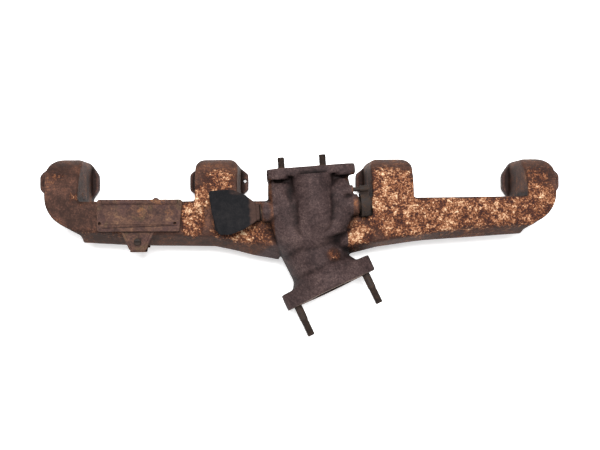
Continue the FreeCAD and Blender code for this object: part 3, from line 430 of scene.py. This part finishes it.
def mat_casting():
    m = Mat("rusted_cast_iron")
    bright, dark = m.attr("bright"), m.attr("dark")
    soot, mach, edge, red = m.attr("soot"), m.attr("machined"), m.attr("edge"), m.attr("red")
    form, grime = m.attr("form"), m.attr("grime")
    tiny = m.noise(1.5, 4, 0.72, 0.4)
    warp = m.warped(9.0, 3.0)
    big = m.noise(26.0, 3, 0.6, vec=warp)
    mid = m.noise(7.0, 4, 0.62, 0.3)
    fine = m.noise(2.6, 5, 0.68, 0.5)
    grit = m.noise(0.9, 2, 0.6)
    speck = m.noise(1.5, 2, 0.5)

    # flaky bright rust: dark scale, red-brown, orange, cream in a tight mosaic
    v = m.add((fine, 2.1), (tiny, 2.3), (mid, 1.6), (big, 1.2), (bright, 0.42), -3.62)
    flaky = m.ramp(v, [
        (0.02, tone(62, 38, 34)), (0.20, tone(92, 56, 42)), (0.36, tone(126, 76, 48)),
        (0.50, tone(160, 102, 70)), (0.64, tone(194, 142, 106)), (0.80, tone(232, 188, 148)), (0.98, tone(252, 228, 190)),
    ])
    # plain brown rust with a fine grain
    u = m.add((fine, 1.0), (tiny, 1.0), (mid, 0.8), (big, 1.0), (red, 0.26), (edge, 0.05), -1.50)
    brown = m.ramp(u, [
        (0.10, tone(56, 38, 32)), (0.33, tone(78, 53, 44)), (0.50, tone(98, 67, 56)),
        (0.66, tone(124, 83, 60)), (0.82, tone(156, 102, 66)), (0.97, tone(200, 142, 104)),
    ])
    # faces turned away from the front take a darker, redder brown: partly rust, partly painted shade
    flank = m.attr("flank")
    brown = m.mix(m.math("MULTIPLY", flank, 0.92), brown, m.ramp(u, [
        (0.10, tone(48, 29, 21)), (0.40, tone(78, 47, 33)), (0.62, tone(104, 64, 42)), (0.85, tone(140, 88, 54)), (0.98, tone(186, 126, 82)),
    ]))
    # heat darkened centre body; the same colour is also painted as shade in the pocket by the spring
    w = m.add((fine, 1.0), (big, 1.0), (tiny, 1.3), (mid, 0.6), -1.57)
    burnt = m.ramp(w, [
        (0.10, tone(42, 31, 31)), (0.40, tone(66, 51, 50)), (0.60, tone(84, 67, 65)), (0.80, tone(106, 86, 82)), (0.97, tone(140, 112, 98)),
    ])
    fb = m.step(m.add((bright, 1.0), (mid, 0.9), (fine, 0.6), (big, 0.7), -1.10), 0.10, 0.60)
    fd = m.step(m.add((dark, 1.0), (mid, 0.4), (big, 0.4), -0.40), 0.30, 0.66)
    col = m.mix(fb, brown, flaky)
    col = m.mix(fd, col, burnt)
    # painted shade: darker in broad hollows, low toward the head face, and under the body flange, in its grooves and by
    # the shaft boss (there partly soot and oily dirt); the crowns are left as they are
    worn = m.ramp(m.add((form, 0.5), (mid, 0.25), (grime, -0.42), 0.375), [
        (0.02, (0.20, 0.18, 0.18, 1)), (0.15, (0.36, 0.33, 0.33, 1)), (0.34, (0.66, 0.63, 0.62, 1)), (0.50, (1, 1, 1, 1)), (1.0, (1.0, 1.0, 1.0, 1))])
    col = m.mix(1.0, col, worn, "MULTIPLY")
    # soot in the gas ways
    black = m.ramp(m.add((mid, 0.6), (grit, 0.5), -0.05), [(0.2, tone(18, 16, 16)), (0.7, tone(46, 40, 38)), (0.95, tone(72, 56, 48))])
    col = m.mix(m.step(m.add((soot, 1.0), (mid, 0.3), -0.15), 0.3, 0.7), col, black)
    # once-machined faces: grey-brown, mottled
    face = m.ramp(m.add((mid, 0.7), (fine, 0.4), (big, 0.4), -0.25), [
        (0.15, tone(64, 50, 46)), (0.45, tone(99, 80, 72)), (0.65, tone(122, 95, 79)), (0.9, tone(150, 110, 84)),
    ])
    col = m.mix(m.step(m.add((mach, 1.0), (fine, 0.3), -0.15), 0.35, 0.65), col, face)
    rough = m.step(m.add((fine, 0.6), (fb, 0.3), (mach, -0.2)), 0.0, 1.0, 0.62, 0.92)
    h = m.add((fine, 0.9), (grit, 0.45), (mid, 0.8))
    lively = m.add((fb, 0.75), 0.25)
    h = m.math("MULTIPLY", h, lively)
    nrm = m.bump(h, 0.0016, 0.95)
    nrm = m.bump(m.noise(0.55, 2, 0.5), 0.00025, 0.6, nrm)
    return m.done(col, rough, nrm, 0.10)


def mat_black():
    """Heat-blackened casting, matte."""
    m = Mat("blackened_iron")
    mid, fine, big = m.noise(6.0, 3, 0.6), m.noise(1.4, 4, 0.6), m.noise(30.0, 2)
    warm = m.attr("warm")
    v = m.add((fine, 0.7), (mid, 0.6), (big, 0.5), -0.40)
    col = m.ramp(v, [(0.15, tone(20, 20, 22)), (0.45, tone(31, 31, 33)), (0.7, tone(43, 41, 42)), (0.92, tone(64, 56, 53))])
    brown = m.ramp(m.add((fine, 0.8), (mid, 0.5), -0.15), [(0.2, tone(50, 40, 38)), (0.6, tone(76, 58, 52)), (0.9, tone(104, 76, 60))])
    col = m.mix(m.step(m.add((warm, 1.0), (mid, 0.5), -0.25), 0.35, 0.75), col, brown)
    nrm = m.bump(m.add((fine, 0.7), (mid, 0.5)), 0.0006, 0.7)
    return m.done(col, m.step(fine, 0.2, 0.8, 0.66, 0.85), nrm, 0.02)


def mat_steel(name, dark=1.0, worn=0.0):
    """Old dark steel with a skin of brown rust."""
    m = Mat(name)
    mid, fine = m.noise(5.0, 3, 0.6), m.noise(1.0, 4, 0.6)
    v = m.add((fine, 0.7), (mid, 0.9), -0.30 + worn)
    k = dark
    col = m.ramp(v, [
        (0.15, tone(38 * k, 32 * k, 31 * k)), (0.45, tone(62 * k, 50 * k, 45 * k)),
        (0.68, tone(88 * k, 68 * k, 56 * k)), (0.92, tone(122 * k, 90 * k, 66 * k)),
    ])
    nrm = m.bump(m.add((fine, 0.7), (mid, 0.5)), 0.0004, 0.6)
    return m.done(col, m.step(mid, 0.25, 0.75, 0.55, 0.85), nrm, 0.14)


def mat_sheet():
    """Rusted pressed sheet: grey-olive, purple-brown and orange patches."""
    m = Mat("rusted_sheet")
    edge, glow = m.attr("edge"), m.attr("glow")
    big, mid = m.noise(17.0, 3, 0.6), m.noise(6.5, 4, 0.62, 0.4)
    fine, grit = m.noise(1.9, 4, 0.66), m.noise(0.8, 2)
    v = m.add((mid, 1.1), (fine, 0.95), (big, 0.8), (grit, 0.25), -1.05)
    col = m.ramp(v, [
        (0.08, tone(46, 33, 31)), (0.30, tone(64, 46, 42)), (0.46, tone(80, 58, 51)),
        (0.62, tone(97, 71, 60)), (0.78, tone(118, 88, 70)), (0.95, tone(142, 108, 84)),
    ])
    violet = m.step(m.noise(21.0, 2), 0.46, 0.66)
    col = m.mix(m.math("MULTIPLY", violet, 0.6), col, m.ramp(fine, [(0.3, tone(58, 42, 44)), (0.7, tone(90, 65, 62))]))
    olive = m.step(m.noise(15.0, 2, 0.5, 0.6), 0.54, 0.70)
    col = m.mix(m.math("MULTIPLY", olive, 0.5), col, m.ramp(fine, [(0.3, tone(66, 56, 44)), (0.7, tone(108, 88, 62))]))
    warm = m.step(m.add((glow, 0.5), (mid, 0.9), (fine, 0.6), -0.70), 0.30, 0.70)
    col = m.mix(m.math("MULTIPLY", warm, 0.75), col, m.ramp(m.add((fine, 1.0), (grit, 0.4), -0.2), [
        (0.25, tone(100, 66, 44)), (0.5, tone(134, 90, 60)), (0.8, tone(168, 120, 82))]))
    col = m.mix(m.step(edge, 0.25, 0.95, 0.0, 0.22), col, tone(122, 92, 74))
    # painted shade: near black in the sheet's creases and hollows
    col = m.mix(m.step(edge, -0.15, -0.8, 0.0, 0.7), col, tone(36, 28, 27))
    nrm = m.bump(m.add((fine, 0.8), (mid, 0.6), (grit, 0.3)), 0.0006, 0.7)
    return m.done(col, m.step(mid, 0.25, 0.75, 0.65, 0.92), nrm, 0.10)


def mat_bronze():
    m = Mat("tarnished_bronze")
    mid, fine = m.noise(4.0, 3), m.noise(0.9, 3)
    col = m.ramp(m.add((mid, 0.8), (fine, 0.4), -0.1), [(0.2, tone(66, 50, 34)), (0.6, tone(110, 80, 48)), (0.9, tone(140, 104, 62))])
    return m.done(col, m.step(fine, 0.3, 0.7, 0.35, 0.6), m.bump(fine, 0.0002, 0.4), 0.5, 0.6)


def mat_floor():
    m = bpy.data.materials.new("pale_floor")
    m.use_nodes = True
    b = m.node_tree.nodes["Principled BSDF"]
    b.inputs["Base Color"].default_value = (0.9, 0.9, 0.9, 1)
    b.inputs["Roughness"].default_value = 0.9
    b.inputs["Specular IOR Level"].default_value = 0.1
    b.inputs["Emission Color"].default_value = (1, 1, 1, 1)
    b.inputs["Emission Strength"].default_value = 0.5
    return m


M_CAST, M_BLACK = mat_casting(), mat_black()
M_STEEL, M_STUD, M_SPRING = mat_steel("dark_steel", 0.74), mat_steel("stud_steel", 0.78, 0.0), mat_steel("heat_stained_strip", 0.70)
M_SHEET, M_BRONZE = mat_sheet(), mat_bronze()


def paint(o, mat):
    o.data.materials.clear()
    o.data.materials.append(mat)


def finish_piece(o, mat, body, slot, *nodes):
    paint(o, mat)
    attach(o, body)
    if nodes:
        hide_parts(*nodes)
    return o


# --------------------------------------------------------------------- casting
def blob(p, c, r, soft=0.5):
    """1 inside an ellipsoid, falling to 0 at its rim."""
    d = np.sqrt((((p - np.array(c)) / np.array(r)) ** 2).sum(1))
    return 1 - smooth01(d, 1 - soft, 1.0)


def casting():
    voxel = 0.00125
    o = remeshed("manifold_casting", "casting_body", voxel)
    me = o.data
    co, n = co_of(me), normals_of(me)
    p = unhead(co)
    nh = np.stack([n[:, 0], n[:, 1] * LC + n[:, 2] * LS, -n[:, 1] * LS + n[:, 2] * LC], 1)
    q = unbody(p)
    # flat machined faces, which stay where they are
    port = (p[:, 2] < 0.6) & (nh[:, 2] < -0.9)
    ct, st = math.cos(TILT), math.sin(TILT)
    nb = nh[:, 1] * ct - nh[:, 0] * st
    riser = (np.abs(q[:, 1] - 48.2) < 0.6) & (np.abs(q[:, 0] - 3) < 60) & (nb > 0.9)
    dist_out = (p - OUT_P) @ OUT_N
    outl = (np.abs(dist_out) < 0.6) & (np.linalg.norm(p - OUT_P, axis=1) < 75) & (nh @ OUT_N > 0.9)
    face = port | riser | outl
    keep = face.astype(float)
    soften(o, 7, keep)
    co = co_of(me)
    p, q = unhead(co), unbody(unhead(co))
    n = normals_of(me)
    nh = np.stack([n[:, 0], n[:, 1] * LC + n[:, 2] * LS, -n[:, 1] * LS + n[:, 2] * LC], 1)

    # gas ways: port bores, outlet bore, riser opening
    soot = np.zeros(len(p))
    for x, r in ((-289.0, 17.5), (-104.0, 20.0), (104.0, 20.0), (289.0, 17.5)):
        d = np.hypot(p[:, 0] - x, p[:, 1])
        soot = np.maximum(soot, (1 - smooth01(d, r + 0.3, r + 2.2)) * (p[:, 2] < 34))
    t = (p - OUT_P) @ OUT_N
    radial = np.linalg.norm((p - OUT_P) - t[:, None] * OUT_N, axis=1)
    soot = np.maximum(soot, (1 - smooth01(radial, 28.2, 30.2)) * (t > -40))
    ro = (np.abs(q[:, 0] - 3) < 29.5) & (q[:, 2] > 35.4) & (q[:, 2] < 78.6) & (q[:, 1] > 18)
    soot = np.maximum(soot, ro * 1.0)
    # everything behind the walls
    xs = np.array([-262, -200, -106, -80, -60, -30, 34, 56, 87, 142, 200, 262.0])
    tops = np.interp(p[:, 0], xs, [-26, -26, -26, -26, -26, -26, -23.5, -23.5, -23, -22.4, -21.8, -21.2])
    creases = np.interp(p[:, 0], xs, [-60.5, -63.5, -66.5, -71, -75, -80, -80, -77, -74, -65, -55.5, -54.5])
    bottoms = np.interp(p[:, 0], xs, [-74.5, -78, -79.5, -85, -90.5, -96, -94, -88.8, -81, -73.6, -70, -66])
    slope = np.clip((p[:, 2] - 64) / 24, 0, 1)
    low = bottoms + slope * (creases - bottoms)
    arm = (np.abs(p[:, 0]) < 246) & (p[:, 2] > 39.5) & (p[:, 2] < 84.8) & (p[:, 1] < tops - 3.2) & (p[:, 1] > low + 4.5)
    soot = np.maximum(soot, arm * 1.0)

    # the plain cast ring on the left arm
    ring = np.exp(-((np.hypot(p[:, 0] + 120, p[:, 1] + 39.5) - 6.6) / 1.0) ** 2) * (p[:, 2] > 84)

    # how lively the rust is, in listed patches
    # bright rust is weighted to faces turned to the front: partly the rust's pattern, partly painted light on the front
    # faces
    front = smooth01(nh[:, 2], 0.15, 0.75)
    bright = np.zeros(len(p))
    for c, r, a, s in (
        ((-131, -46, 88), (17, 34, 20), 0.86, 0.45),      # between cover and counterweight
        ((-122, -20, 88), (18, 20, 30), 0.72, 0.7),
        ((-101, 0, 88), (34, 32, 30), 0.62, 0.8),         # second port
        ((-76, -66, 88), (54, 22, 26), 0.70, 0.8),        # below the counterweight
        ((54, -70, 88), (32, 24, 26), 1.12, 0.5),         # right of the body
        ((96, -18, 88), (52, 58, 30), 0.80, 0.5),         # third port
        ((116, -44, 88), (60, 40, 26), 0.84, 0.7),
        ((165, -44, 88), (66, 36, 26), 0.76, 0.6),
        ((215, -40, 88), (60, 36, 26), 0.78, 0.6),
        ((262, -30, 88), (48, 44, 28), 0.80, 0.6),        # right hook
        ((278, 4, 82), (28, 30, 28), 0.62, 0.9),
        ((150, -64, 84), (110, 18, 26), 0.50, 0.8),       # lower edge of the right arm
        ((-288, 8, 84), (16, 16, 18), 0.46, 0.9),         # left hook, two orange patches
        ((-262, -22, 88), (18, 16, 14), 0.30, 0.9),
        ((-235, -66, 88), (60, 10, 20), 0.40, 0.9),       # under the cover
        ((33, -89, 98), (20, 15, 28), 0.50, 0.9),         # on the neck
    ):
        bright = np.maximum(bright, a * blob(p, c, r, s))
    bright *= 0.25 + 0.75 * front
    bright *= 1 - (0.50 - 0.32 * (np.abs(p[:, 0] - 100) < 60)) * smooth01(p[:, 1], 10, 24)   # port tops are plainer
    dark = np.zeros(len(p))
    inb = smooth01(q[:, 0], -47, -41) * (1 - smooth01(q[:, 0], 38, 43) * (p[:, 2] < 93)) * (1 - smooth01(q[:, 0], 46, 50)) * smooth01(q[:, 1], -56, -44)
    fl = (1 - smooth01(np.abs(q[:, 0] - 3), 53, 55)) * smooth01(q[:, 1], 36, 39)
    side = (p - OUT_P) @ OUT_U
    rusty = 0.35 * blob(q, (-8, 40, 92), (34, 7, 14), 0.9) + 0.35 * blob(p, (20, -100, 96), (30, 16, 26), 0.9)
    neck = (radial < 66) * smooth01(t, -84, -66) * (1 - smooth01(side, 34, 42) * (t < -26))
    dark = np.maximum.reduce([inb, fl, neck])
    dark *= 1 - np.maximum(0.85 * blob(p, (33, -89, 98), (17, 15, 28), 0.9), rusty)
    # painted shade: the pocket around the spring takes the dark burnt colour
    dark = np.maximum(dark, 0.85 * blob(p, (55, -24, 84), (12, 22, 30), 0.6))     # by the spring
    dark = np.maximum(dark, 0.9 * blob(q, (-52, 0, 90), (12, 16, 24), 0.5))       # left shaft boss
    dark = np.maximum(dark, 0.55 * (p[:, 2] < 12.5) * (1 - smooth01(nh[:, 2], 0.9, 1.2)))   # port flange ears
    red = 0.3 * blob(p, (-100, 6, 80), (40, 34, 40), 0.8) - 0.55 * blob(p, (-262, -36, 80), (62, 60, 50), 0.5)
    # painted shade, partly rust: bevels turned away from the front take less red, so a darker brown
    red -= 0.45 * (1 - smooth01(nh[:, 2], 0.75, 0.95)) * smooth01(nh[:, 2], 0.1, 0.5)
    red += 0.45 * blob(p, (262, -14, 84), (36, 34, 40), 0.6)
    red -= 0.25 * blob(p, (-200, -66, 80), (90, 20, 40), 0.8)

    # rough sand-cast skin, pitted where the rust is lively; only ever inward
    live = np.clip(bright, 0, 1) * (1 - 0.7 * dark)
    wav = fbm(p, 24.0, 3, 2)
    pit = fbm(p, 5.2, 11, 3, 0.6)
    fin = fbm(p, 2.9, 23, 2, 0.6)
    flake = smooth01(fbm(p, 6.0, 31, 3, 0.65), -0.02, 0.16)
    d = 0.16 * wav + (0.10 + 0.20 * live) * pit + (0.05 + 0.12 * live) * fin + 0.24 * live * flake
    top = 0.16 + (0.15 + 0.32 * live) + 0.24 * live
    d = (np.minimum(d - 0.62 * top, 0.0) - 0.25 * ring) / 1000
    free = 1 - np.maximum(keep, 0)
    # near other pieces the skin stays put
    free *= 1 - (np.abs(q[:, 1]) < 13) * (np.abs(q[:, 2] - 94) < 13) * ((np.abs(q[:, 0] + 58) < 1.2) | (np.abs(q[:, 0] - 55) < 1.2))
    co = co + n * (d * free)[:, None]
    set_co(me, co)
    # the flat faces lie exactly in their planes
    smooth_shade(me)
    attribute(me, "bright", bright)
    attribute(me, "dark", dark)
    attribute(me, "soot", soot)
    attribute(me, "red", red)
    # painted shade, partly soot and oily dirt: under the body flange's ears, in the grooves beside the barrel, by the
    # left shaft boss and beside the spring, low on the neck, on the sides of the port flange ears and in the cast
    # ring's groove
    grime = np.maximum.reduce([
        0.72 * blob(q, (-27, 32, 78), (17, 9, 30), 0.8), 0.72 * blob(q, (32, 32, 78), (15, 9, 30), 0.8),
        0.80 * blob(q, (-23, 14, 84), (7, 34, 26), 0.9), 0.55 * blob(q, (-25, -20, 84), (6, 22, 26), 0.9),
        0.65 * blob(q, (27, 16, 84), (7, 26, 26), 0.9),
        0.70 * blob(q, (-50, 0, 90), (8, 14, 20), 0.7), 0.70 * blob(q, (47, 2, 84), (9, 22, 26), 0.8),
        0.45 * blob(p, (-20, -92, 84), (16, 12, 40), 0.9),
        0.50 * (p[:, 2] < 13) * (1 - smooth01(nh[:, 2], 0.97, 1.3)),
        0.85 * ring,
    ])
    attribute(me, "grime", grime)
    # painted shade, partly rust: a darker brown on faces turned away from the front
    attribute(me, "flank", (1 - smooth01(nh[:, 2], 0.45, 0.92)) * (1 - np.clip(dark, 0, 1)))
    attribute(me, "machined", keep * (1 - 0.0))
    attribute(me, "edge", curvature(me))
    # painted shade: darker in broad hollows, and darker again toward the head face below z 40 mm
    form = hollows(me, 44)
    low = (p[:, 2] < 40) * 0.55
    attribute(me, "form", np.clip(form - low, -1, 1))
    return finish_piece(o, M_CAST, "casting", "cast_iron", "manifold_casting")


casting()


# ------------------------------------------------------------------ small parts
def weathered(node, name, voxel, rounds, amp, mat, body, slot, lump=6.0, sharp=None):
    o = remeshed(node, name, voxel)
    soften(o, rounds)
    me = o.data
    co, n = co_of(me), normals_of(me)
    p = co * 1000
    d = amp * (0.6 * fbm(p, lump, 5, 2) + 0.4 * fbm(p, lump / 3, 9, 2) - 0.55)
    set_co(me, co + n * np.minimum(d, 0)[:, None] / 1000)
    smooth_shade(me, sharp)
    attribute(me, "edge", curvature(me))
    return finish_piece(o, mat, body, slot, node)


def counterweight():
    o = weathered("counterweight", "counterweight_fan", 0.0008, 5, 0.22, M_BLACK, "heat_valve", "dark_iron", 9.0)
    q = unbody(unhead(co_of(o.data)))
    warm = 0.55 * blob(q, (-84, 26, 114), (22, 12, 30), 0.8) + 0.9 * (1 - smooth01(-q[:, 0], 66, 78))
    attribute(o.data, "warm", warm)


counterweight()


def stove_cover():
    o = remeshed("stove_cover", "stove_cover_sheet", 0.00048)
    soften(o, 3)
    me = o.data
    co, n = co_of(me), normals_of(me)
    p = unhead(co)
    # the sheet is dented and its skin pitted
    dent = 0.55 * fbm(p * np.array([1, 1, 0]), 21.0, 41, 2) - 0.62
    dent = np.minimum(dent, 0) * smooth01(p[:, 2], 90.0, 94.0) * 0.55
    pit = 0.10 * fbm(p, 3.0, 43, 2) - 0.10
    off = np.zeros_like(p)
    # a pressed line above the lower lip
    line = p[:, 1] - (-56.2 + 0.035 * (p[:, 0] + 190))
    bead = np.exp(-(line / 0.85) ** 2) * smooth01(p[:, 0], -236, -232) * (1 - smooth01(p[:, 0], -150, -146)) * smooth01(p[:, 2], 91.5, 93.5)
    off[:, 2] = dent - 0.75 * bead
    co = head(p + off) + n * (np.minimum(pit, 0) / 1000)[:, None]
    set_co(me, co)
    smooth_shade(me)
    attribute(me, "edge", curvature(me))
    glow = np.maximum.reduce([
        0.9 * blob(p, (-168, -27, 92), (26, 7, 12), 0.7), 0.8 * blob(p, (-188, -40, 94), (14, 14, 12), 0.8),
        0.7 * blob(p, (-157, -38, 94), (12, 10, 12), 0.8), 0.5 * blob(p, (-205, -27, 92), (30, 5, 12), 0.8),
    ])
    attribute(me, "glow", glow)
    finish_piece(o, M_SHEET, "casting", "sheet", "stove_cover")


stove_cover()
for node, name, voxel, rounds, amp, mat, slot in (
    ("stove_strap", "stove_strap_band", 0.0006, 2, 0.15, M_SHEET, "sheet"),
    ("stove_screw", "stove_screw_slotted", 0.0003, 2, 0.08, M_STEEL, "steel"),
    ("stove_nut", "stove_nut_hex", 0.0003, 2, 0.08, M_STEEL, "steel"),
    ("stove_rivet", "stove_rivet_head", 0.0003, 2, 0.10, M_SHEET, "steel"),
):
    weathered(node, name, voxel * (1.0), rounds, amp, mat, "casting", slot, 4.0)


# ------------------------------------------------------------------------ studs
def stud(name, base, axis, length, r, threads, pitch=1.5875):
    """A turned stud with rolled threads along the given stretches, in mm."""
    axis = np.array(axis, float)
    axis /= np.linalg.norm(axis)
    ref = np.array([0, 0, 1.0]) if abs(axis[2]) < 0.9 else np.array([1.0, 0, 0])
    u = np.cross(axis, ref)
    u /= np.linalg.norm(u)
    w = np.cross(axis, u)
    na = 48
    nv = int(length / (0.18)) + 1
    v = np.linspace(0, length, nv)
    th = np.arange(na) * 2 * math.pi / na
    V_, T_ = np.meshgrid(v, th, indexing="ij")
    ph = (V_ / pitch - T_ / (2 * math.pi)) % 1.0
    tri = np.abs(ph - 0.5) * 2                       # 1 at a crest, 0 at a root
    tri = np.clip(tri * 1.35 - 0.12, 0, 1)
    cut = np.zeros_like(V_)
    for a, b in threads:
        cut = np.maximum(cut, smooth01(V_, a, a + 1.2) * (1 - smooth01(V_, b - 0.8, b)))
    rad = r - 0.03 - cut * 0.62 * pitch * 0.82 * (1 - tri)
    P3 = np.stack([V_ * 3, np.cos(T_) * 9, np.sin(T_) * 9], -1).reshape(-1, 3)
    rad -= 0.10 * np.clip(0.6 + fbm(P3, 6.0, 51, 2), 0, 1).reshape(rad.shape)
    # chamfered free end
    lim = r - np.clip((V_ - (length - 1.6)) / 1.6, 0, 1) * 1.25
    rad = np.minimum(rad, lim)
    pos = np.array(base) + V_[..., None] * axis + rad[..., None] * (np.cos(T_)[..., None] * u + np.sin(T_)[..., None] * w)
    pos = head(pos.reshape(-1, 3))
    faces = []
    for i in range(nv - 1):
        for j in range(na):
            k = (j + 1) % na
            faces.append((i * na + j, i * na + k, (i + 1) * na + k, (i + 1) * na + j))
    verts = [tuple(x) for x in pos]
    # ends: an inner ring and a middle point, both flat
    for row, at, sgn in ((0, 0.0, -1), (nv - 1, length - 0.02, 1)):
        ring = len(verts)
        rr = rad[row].mean() * 0.55
        for j in range(na):
            verts.append(tuple(head(np.array(base) + axis * (at - (0.0 if sgn > 0 else 0.0)) + rr * (math.cos(th[j]) * u + math.sin(th[j]) * w))))
        mid = len(verts)
        verts.append(tuple(head(np.array(base) + axis * at)))
        for j in range(na):
            k = (j + 1) % na
            a, b = row * na + j, row * na + k
            c, d = ring + k, ring + j
            faces.append((a, d, c, b) if sgn < 0 else (a, b, c, d))
            faces.append((ring + j, mid, ring + k) if sgn < 0 else (ring + j, ring + k, mid))
    me = bpy.data.meshes.new(name)
    me.from_pydata(verts, [], faces)
    bm = bmesh.new()
    bm.from_mesh(me)
    bmesh.ops.recalc_face_normals(bm, faces=bm.faces)
    bm.to_mesh(me)
    bm.free()
    smooth_shade(me, 50)
    return link(name, me)


R_STUD = 4.7625
b_dir = np.array([-math.sin(TILT), math.cos(TILT), 0.0])
riser = []
for i, a in enumerate((-29.4, 22.0)):
    base = bodyf((a, 48.2 - 13.8, 27.0))
    s = stud(f"riser_stud_{'left' if i == 0 else 'right'}", base, b_dir, 13.8 + 19.0, R_STUD, [(0.5, 13.6), (18.0, 31.8)])
    riser.append(s)
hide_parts("riser_studs")
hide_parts("riser_studs")
outs = []
for i, s_ in enumerate((-1, 1)):
    base = OUT_P + OUT_U * (s_ * 44.5) - OUT_N * 15.8
    s = stud(f"outlet_stud_{'left' if i == 0 else 'right'}", base, OUT_N, 15.8 + 38.0, R_STUD, [(0.5, 15.6), (33.0, 53.2)])
    outs.append(s)
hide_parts("outlet_studs")
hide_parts("outlet_studs")
for s in riser + outs:
    paint(s, M_STUD)
    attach(s, "casting")

# ------------------------------------------------------------------ the spring
def spring():
    me = NODES["bimetal_spring"].data.copy()
    me.name = "spring_strip"
    bm = bmesh.new()
    bm.from_mesh(me)
    bmesh.ops.remove_doubles(bm, verts=bm.verts, dist=2e-6)
    bmesh.ops.triangulate(bm, faces=[f for f in bm.faces if len(f.verts) > 4])
    for _ in range(3):
        long = [e for e in bm.edges if e.calc_length() > 0.0016]
        if not long:
            break
        bmesh.ops.subdivide_edges(bm, edges=long, cuts=1, use_grid_fill=True)
    bmesh.ops.triangulate(bm, faces=bm.faces)
    bm.to_mesh(me)
    bm.free()
    o = link("bimetal_spring_coil", me)
    smooth_shade(me, 40)
    paint(o, M_SPRING)
    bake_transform(o)
    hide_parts("bimetal_spring")


spring()

# ---------------------------------------------------- CAD nodes kept as they are
for node, mat in (
    ("valve_shaft", M_STEEL), ("valve_plate", M_STEEL), ("valve_plate_screws", M_STEEL),
    ("shaft_bush_left", M_BRONZE), ("shaft_bush_right", M_BRONZE),
    ("thrust_washer_left", M_STEEL), ("thrust_washer_right", M_STEEL),
    ("counterweight_pin", M_STEEL),
    ("spring_anchor_pin", M_STEEL), ("shaft_end_clip", M_STEEL),
):
    o = NODES[node]
    if not o.data.materials:
        o.data.materials.append(mat)
    for i in range(len(o.data.materials)):
        o.data.materials[i] = mat

# ------------------------------------------------------------- floor and lights
fm = bpy.data.meshes.new("floor")
S = 6.0
fm.from_pydata([(-S, -S, -0.0004), (S, -S, -0.0004), (S, S, -0.0004), (-S, S, -0.0004)], [], [(0, 1, 2, 3)])
floor = link("floor", fm)
floor.data.materials.append(mat_floor())

world = bpy.data.worlds.new("studio")
world.use_nodes = True
bg = world.node_tree.nodes["Background"]
bg.inputs["Color"].default_value = (1.0, 1.0, 1.0, 1)
bg.inputs["Strength"].default_value = 0.45
bpy.context.scene.world = world


def area_light(name, loc, target, size, watts, color=(1, 1, 1)):
    l = bpy.data.lights.new(name, "AREA")
    l.shape = "SQUARE"
    l.size = size
    l.energy = watts
    l.color = color
    o = bpy.data.objects.new(name, l)
    bpy.context.scene.collection.objects.link(o)
    o.location = loc
    o.rotation_euler = (Vector(target) - Vector(loc)).to_track_quat("-Z", "Y").to_euler()
    return o


area_light("softbox_top", (0.0, 0.02, 2.4), (0.0, 0.0, 0.05), 0.9, 104.0)
area_light("softbox_front", (0.2, 1.5, 1.9), (0.0, 0.0, 0.05), 0.9, 12.0)

# ---------------------------------------------------------------------- camera
# looking down on the head face side, nearly square on
C = np.array([-43.13, -66.44, 1100.0])
F_PX = 868.7
ax, ay, roll = math.radians(-0.661), math.radians(-2.099), math.radians(0.297)
Ry = np.array([[math.cos(ay), 0, -math.sin(ay)], [0, 1, 0], [math.sin(ay), 0, math.cos(ay)]])
Rx = np.array([[1, 0, 0], [0, math.cos(ax), -math.sin(ax)], [0, math.sin(ax), math.cos(ax)]])
Rz = np.array([[math.cos(roll), -math.sin(roll), 0], [math.sin(roll), math.cos(roll), 0], [0, 0, 1]])
RL = np.array([[1, 0, 0], [0, LC, -LS], [0, LS, LC]])
R = RL @ (Rz @ Rx @ Ry).T
cd = bpy.data.cameras.new("camera")
cd.sensor_fit = "HORIZONTAL"
cd.sensor_width = 36.0
cd.lens = F_PX / 600 * 36.0
cd.clip_start, cd.clip_end = 0.05, 30
cam = bpy.data.objects.new("camera", cd)
bpy.context.scene.collection.objects.link(cam)
mw = Matrix([list(R[0]) + [0], list(R[1]) + [0], list(R[2]) + [0], [0, 0, 0, 1]])
mw.translation = Vector(head(C))
cam.matrix_world = mw
bpy.context.scene.camera = cam

bpy.context.scene.view_settings.view_transform = "Standard"
bpy.context.scene.view_settings.look = "None"

bpy.context.view_layer.update()
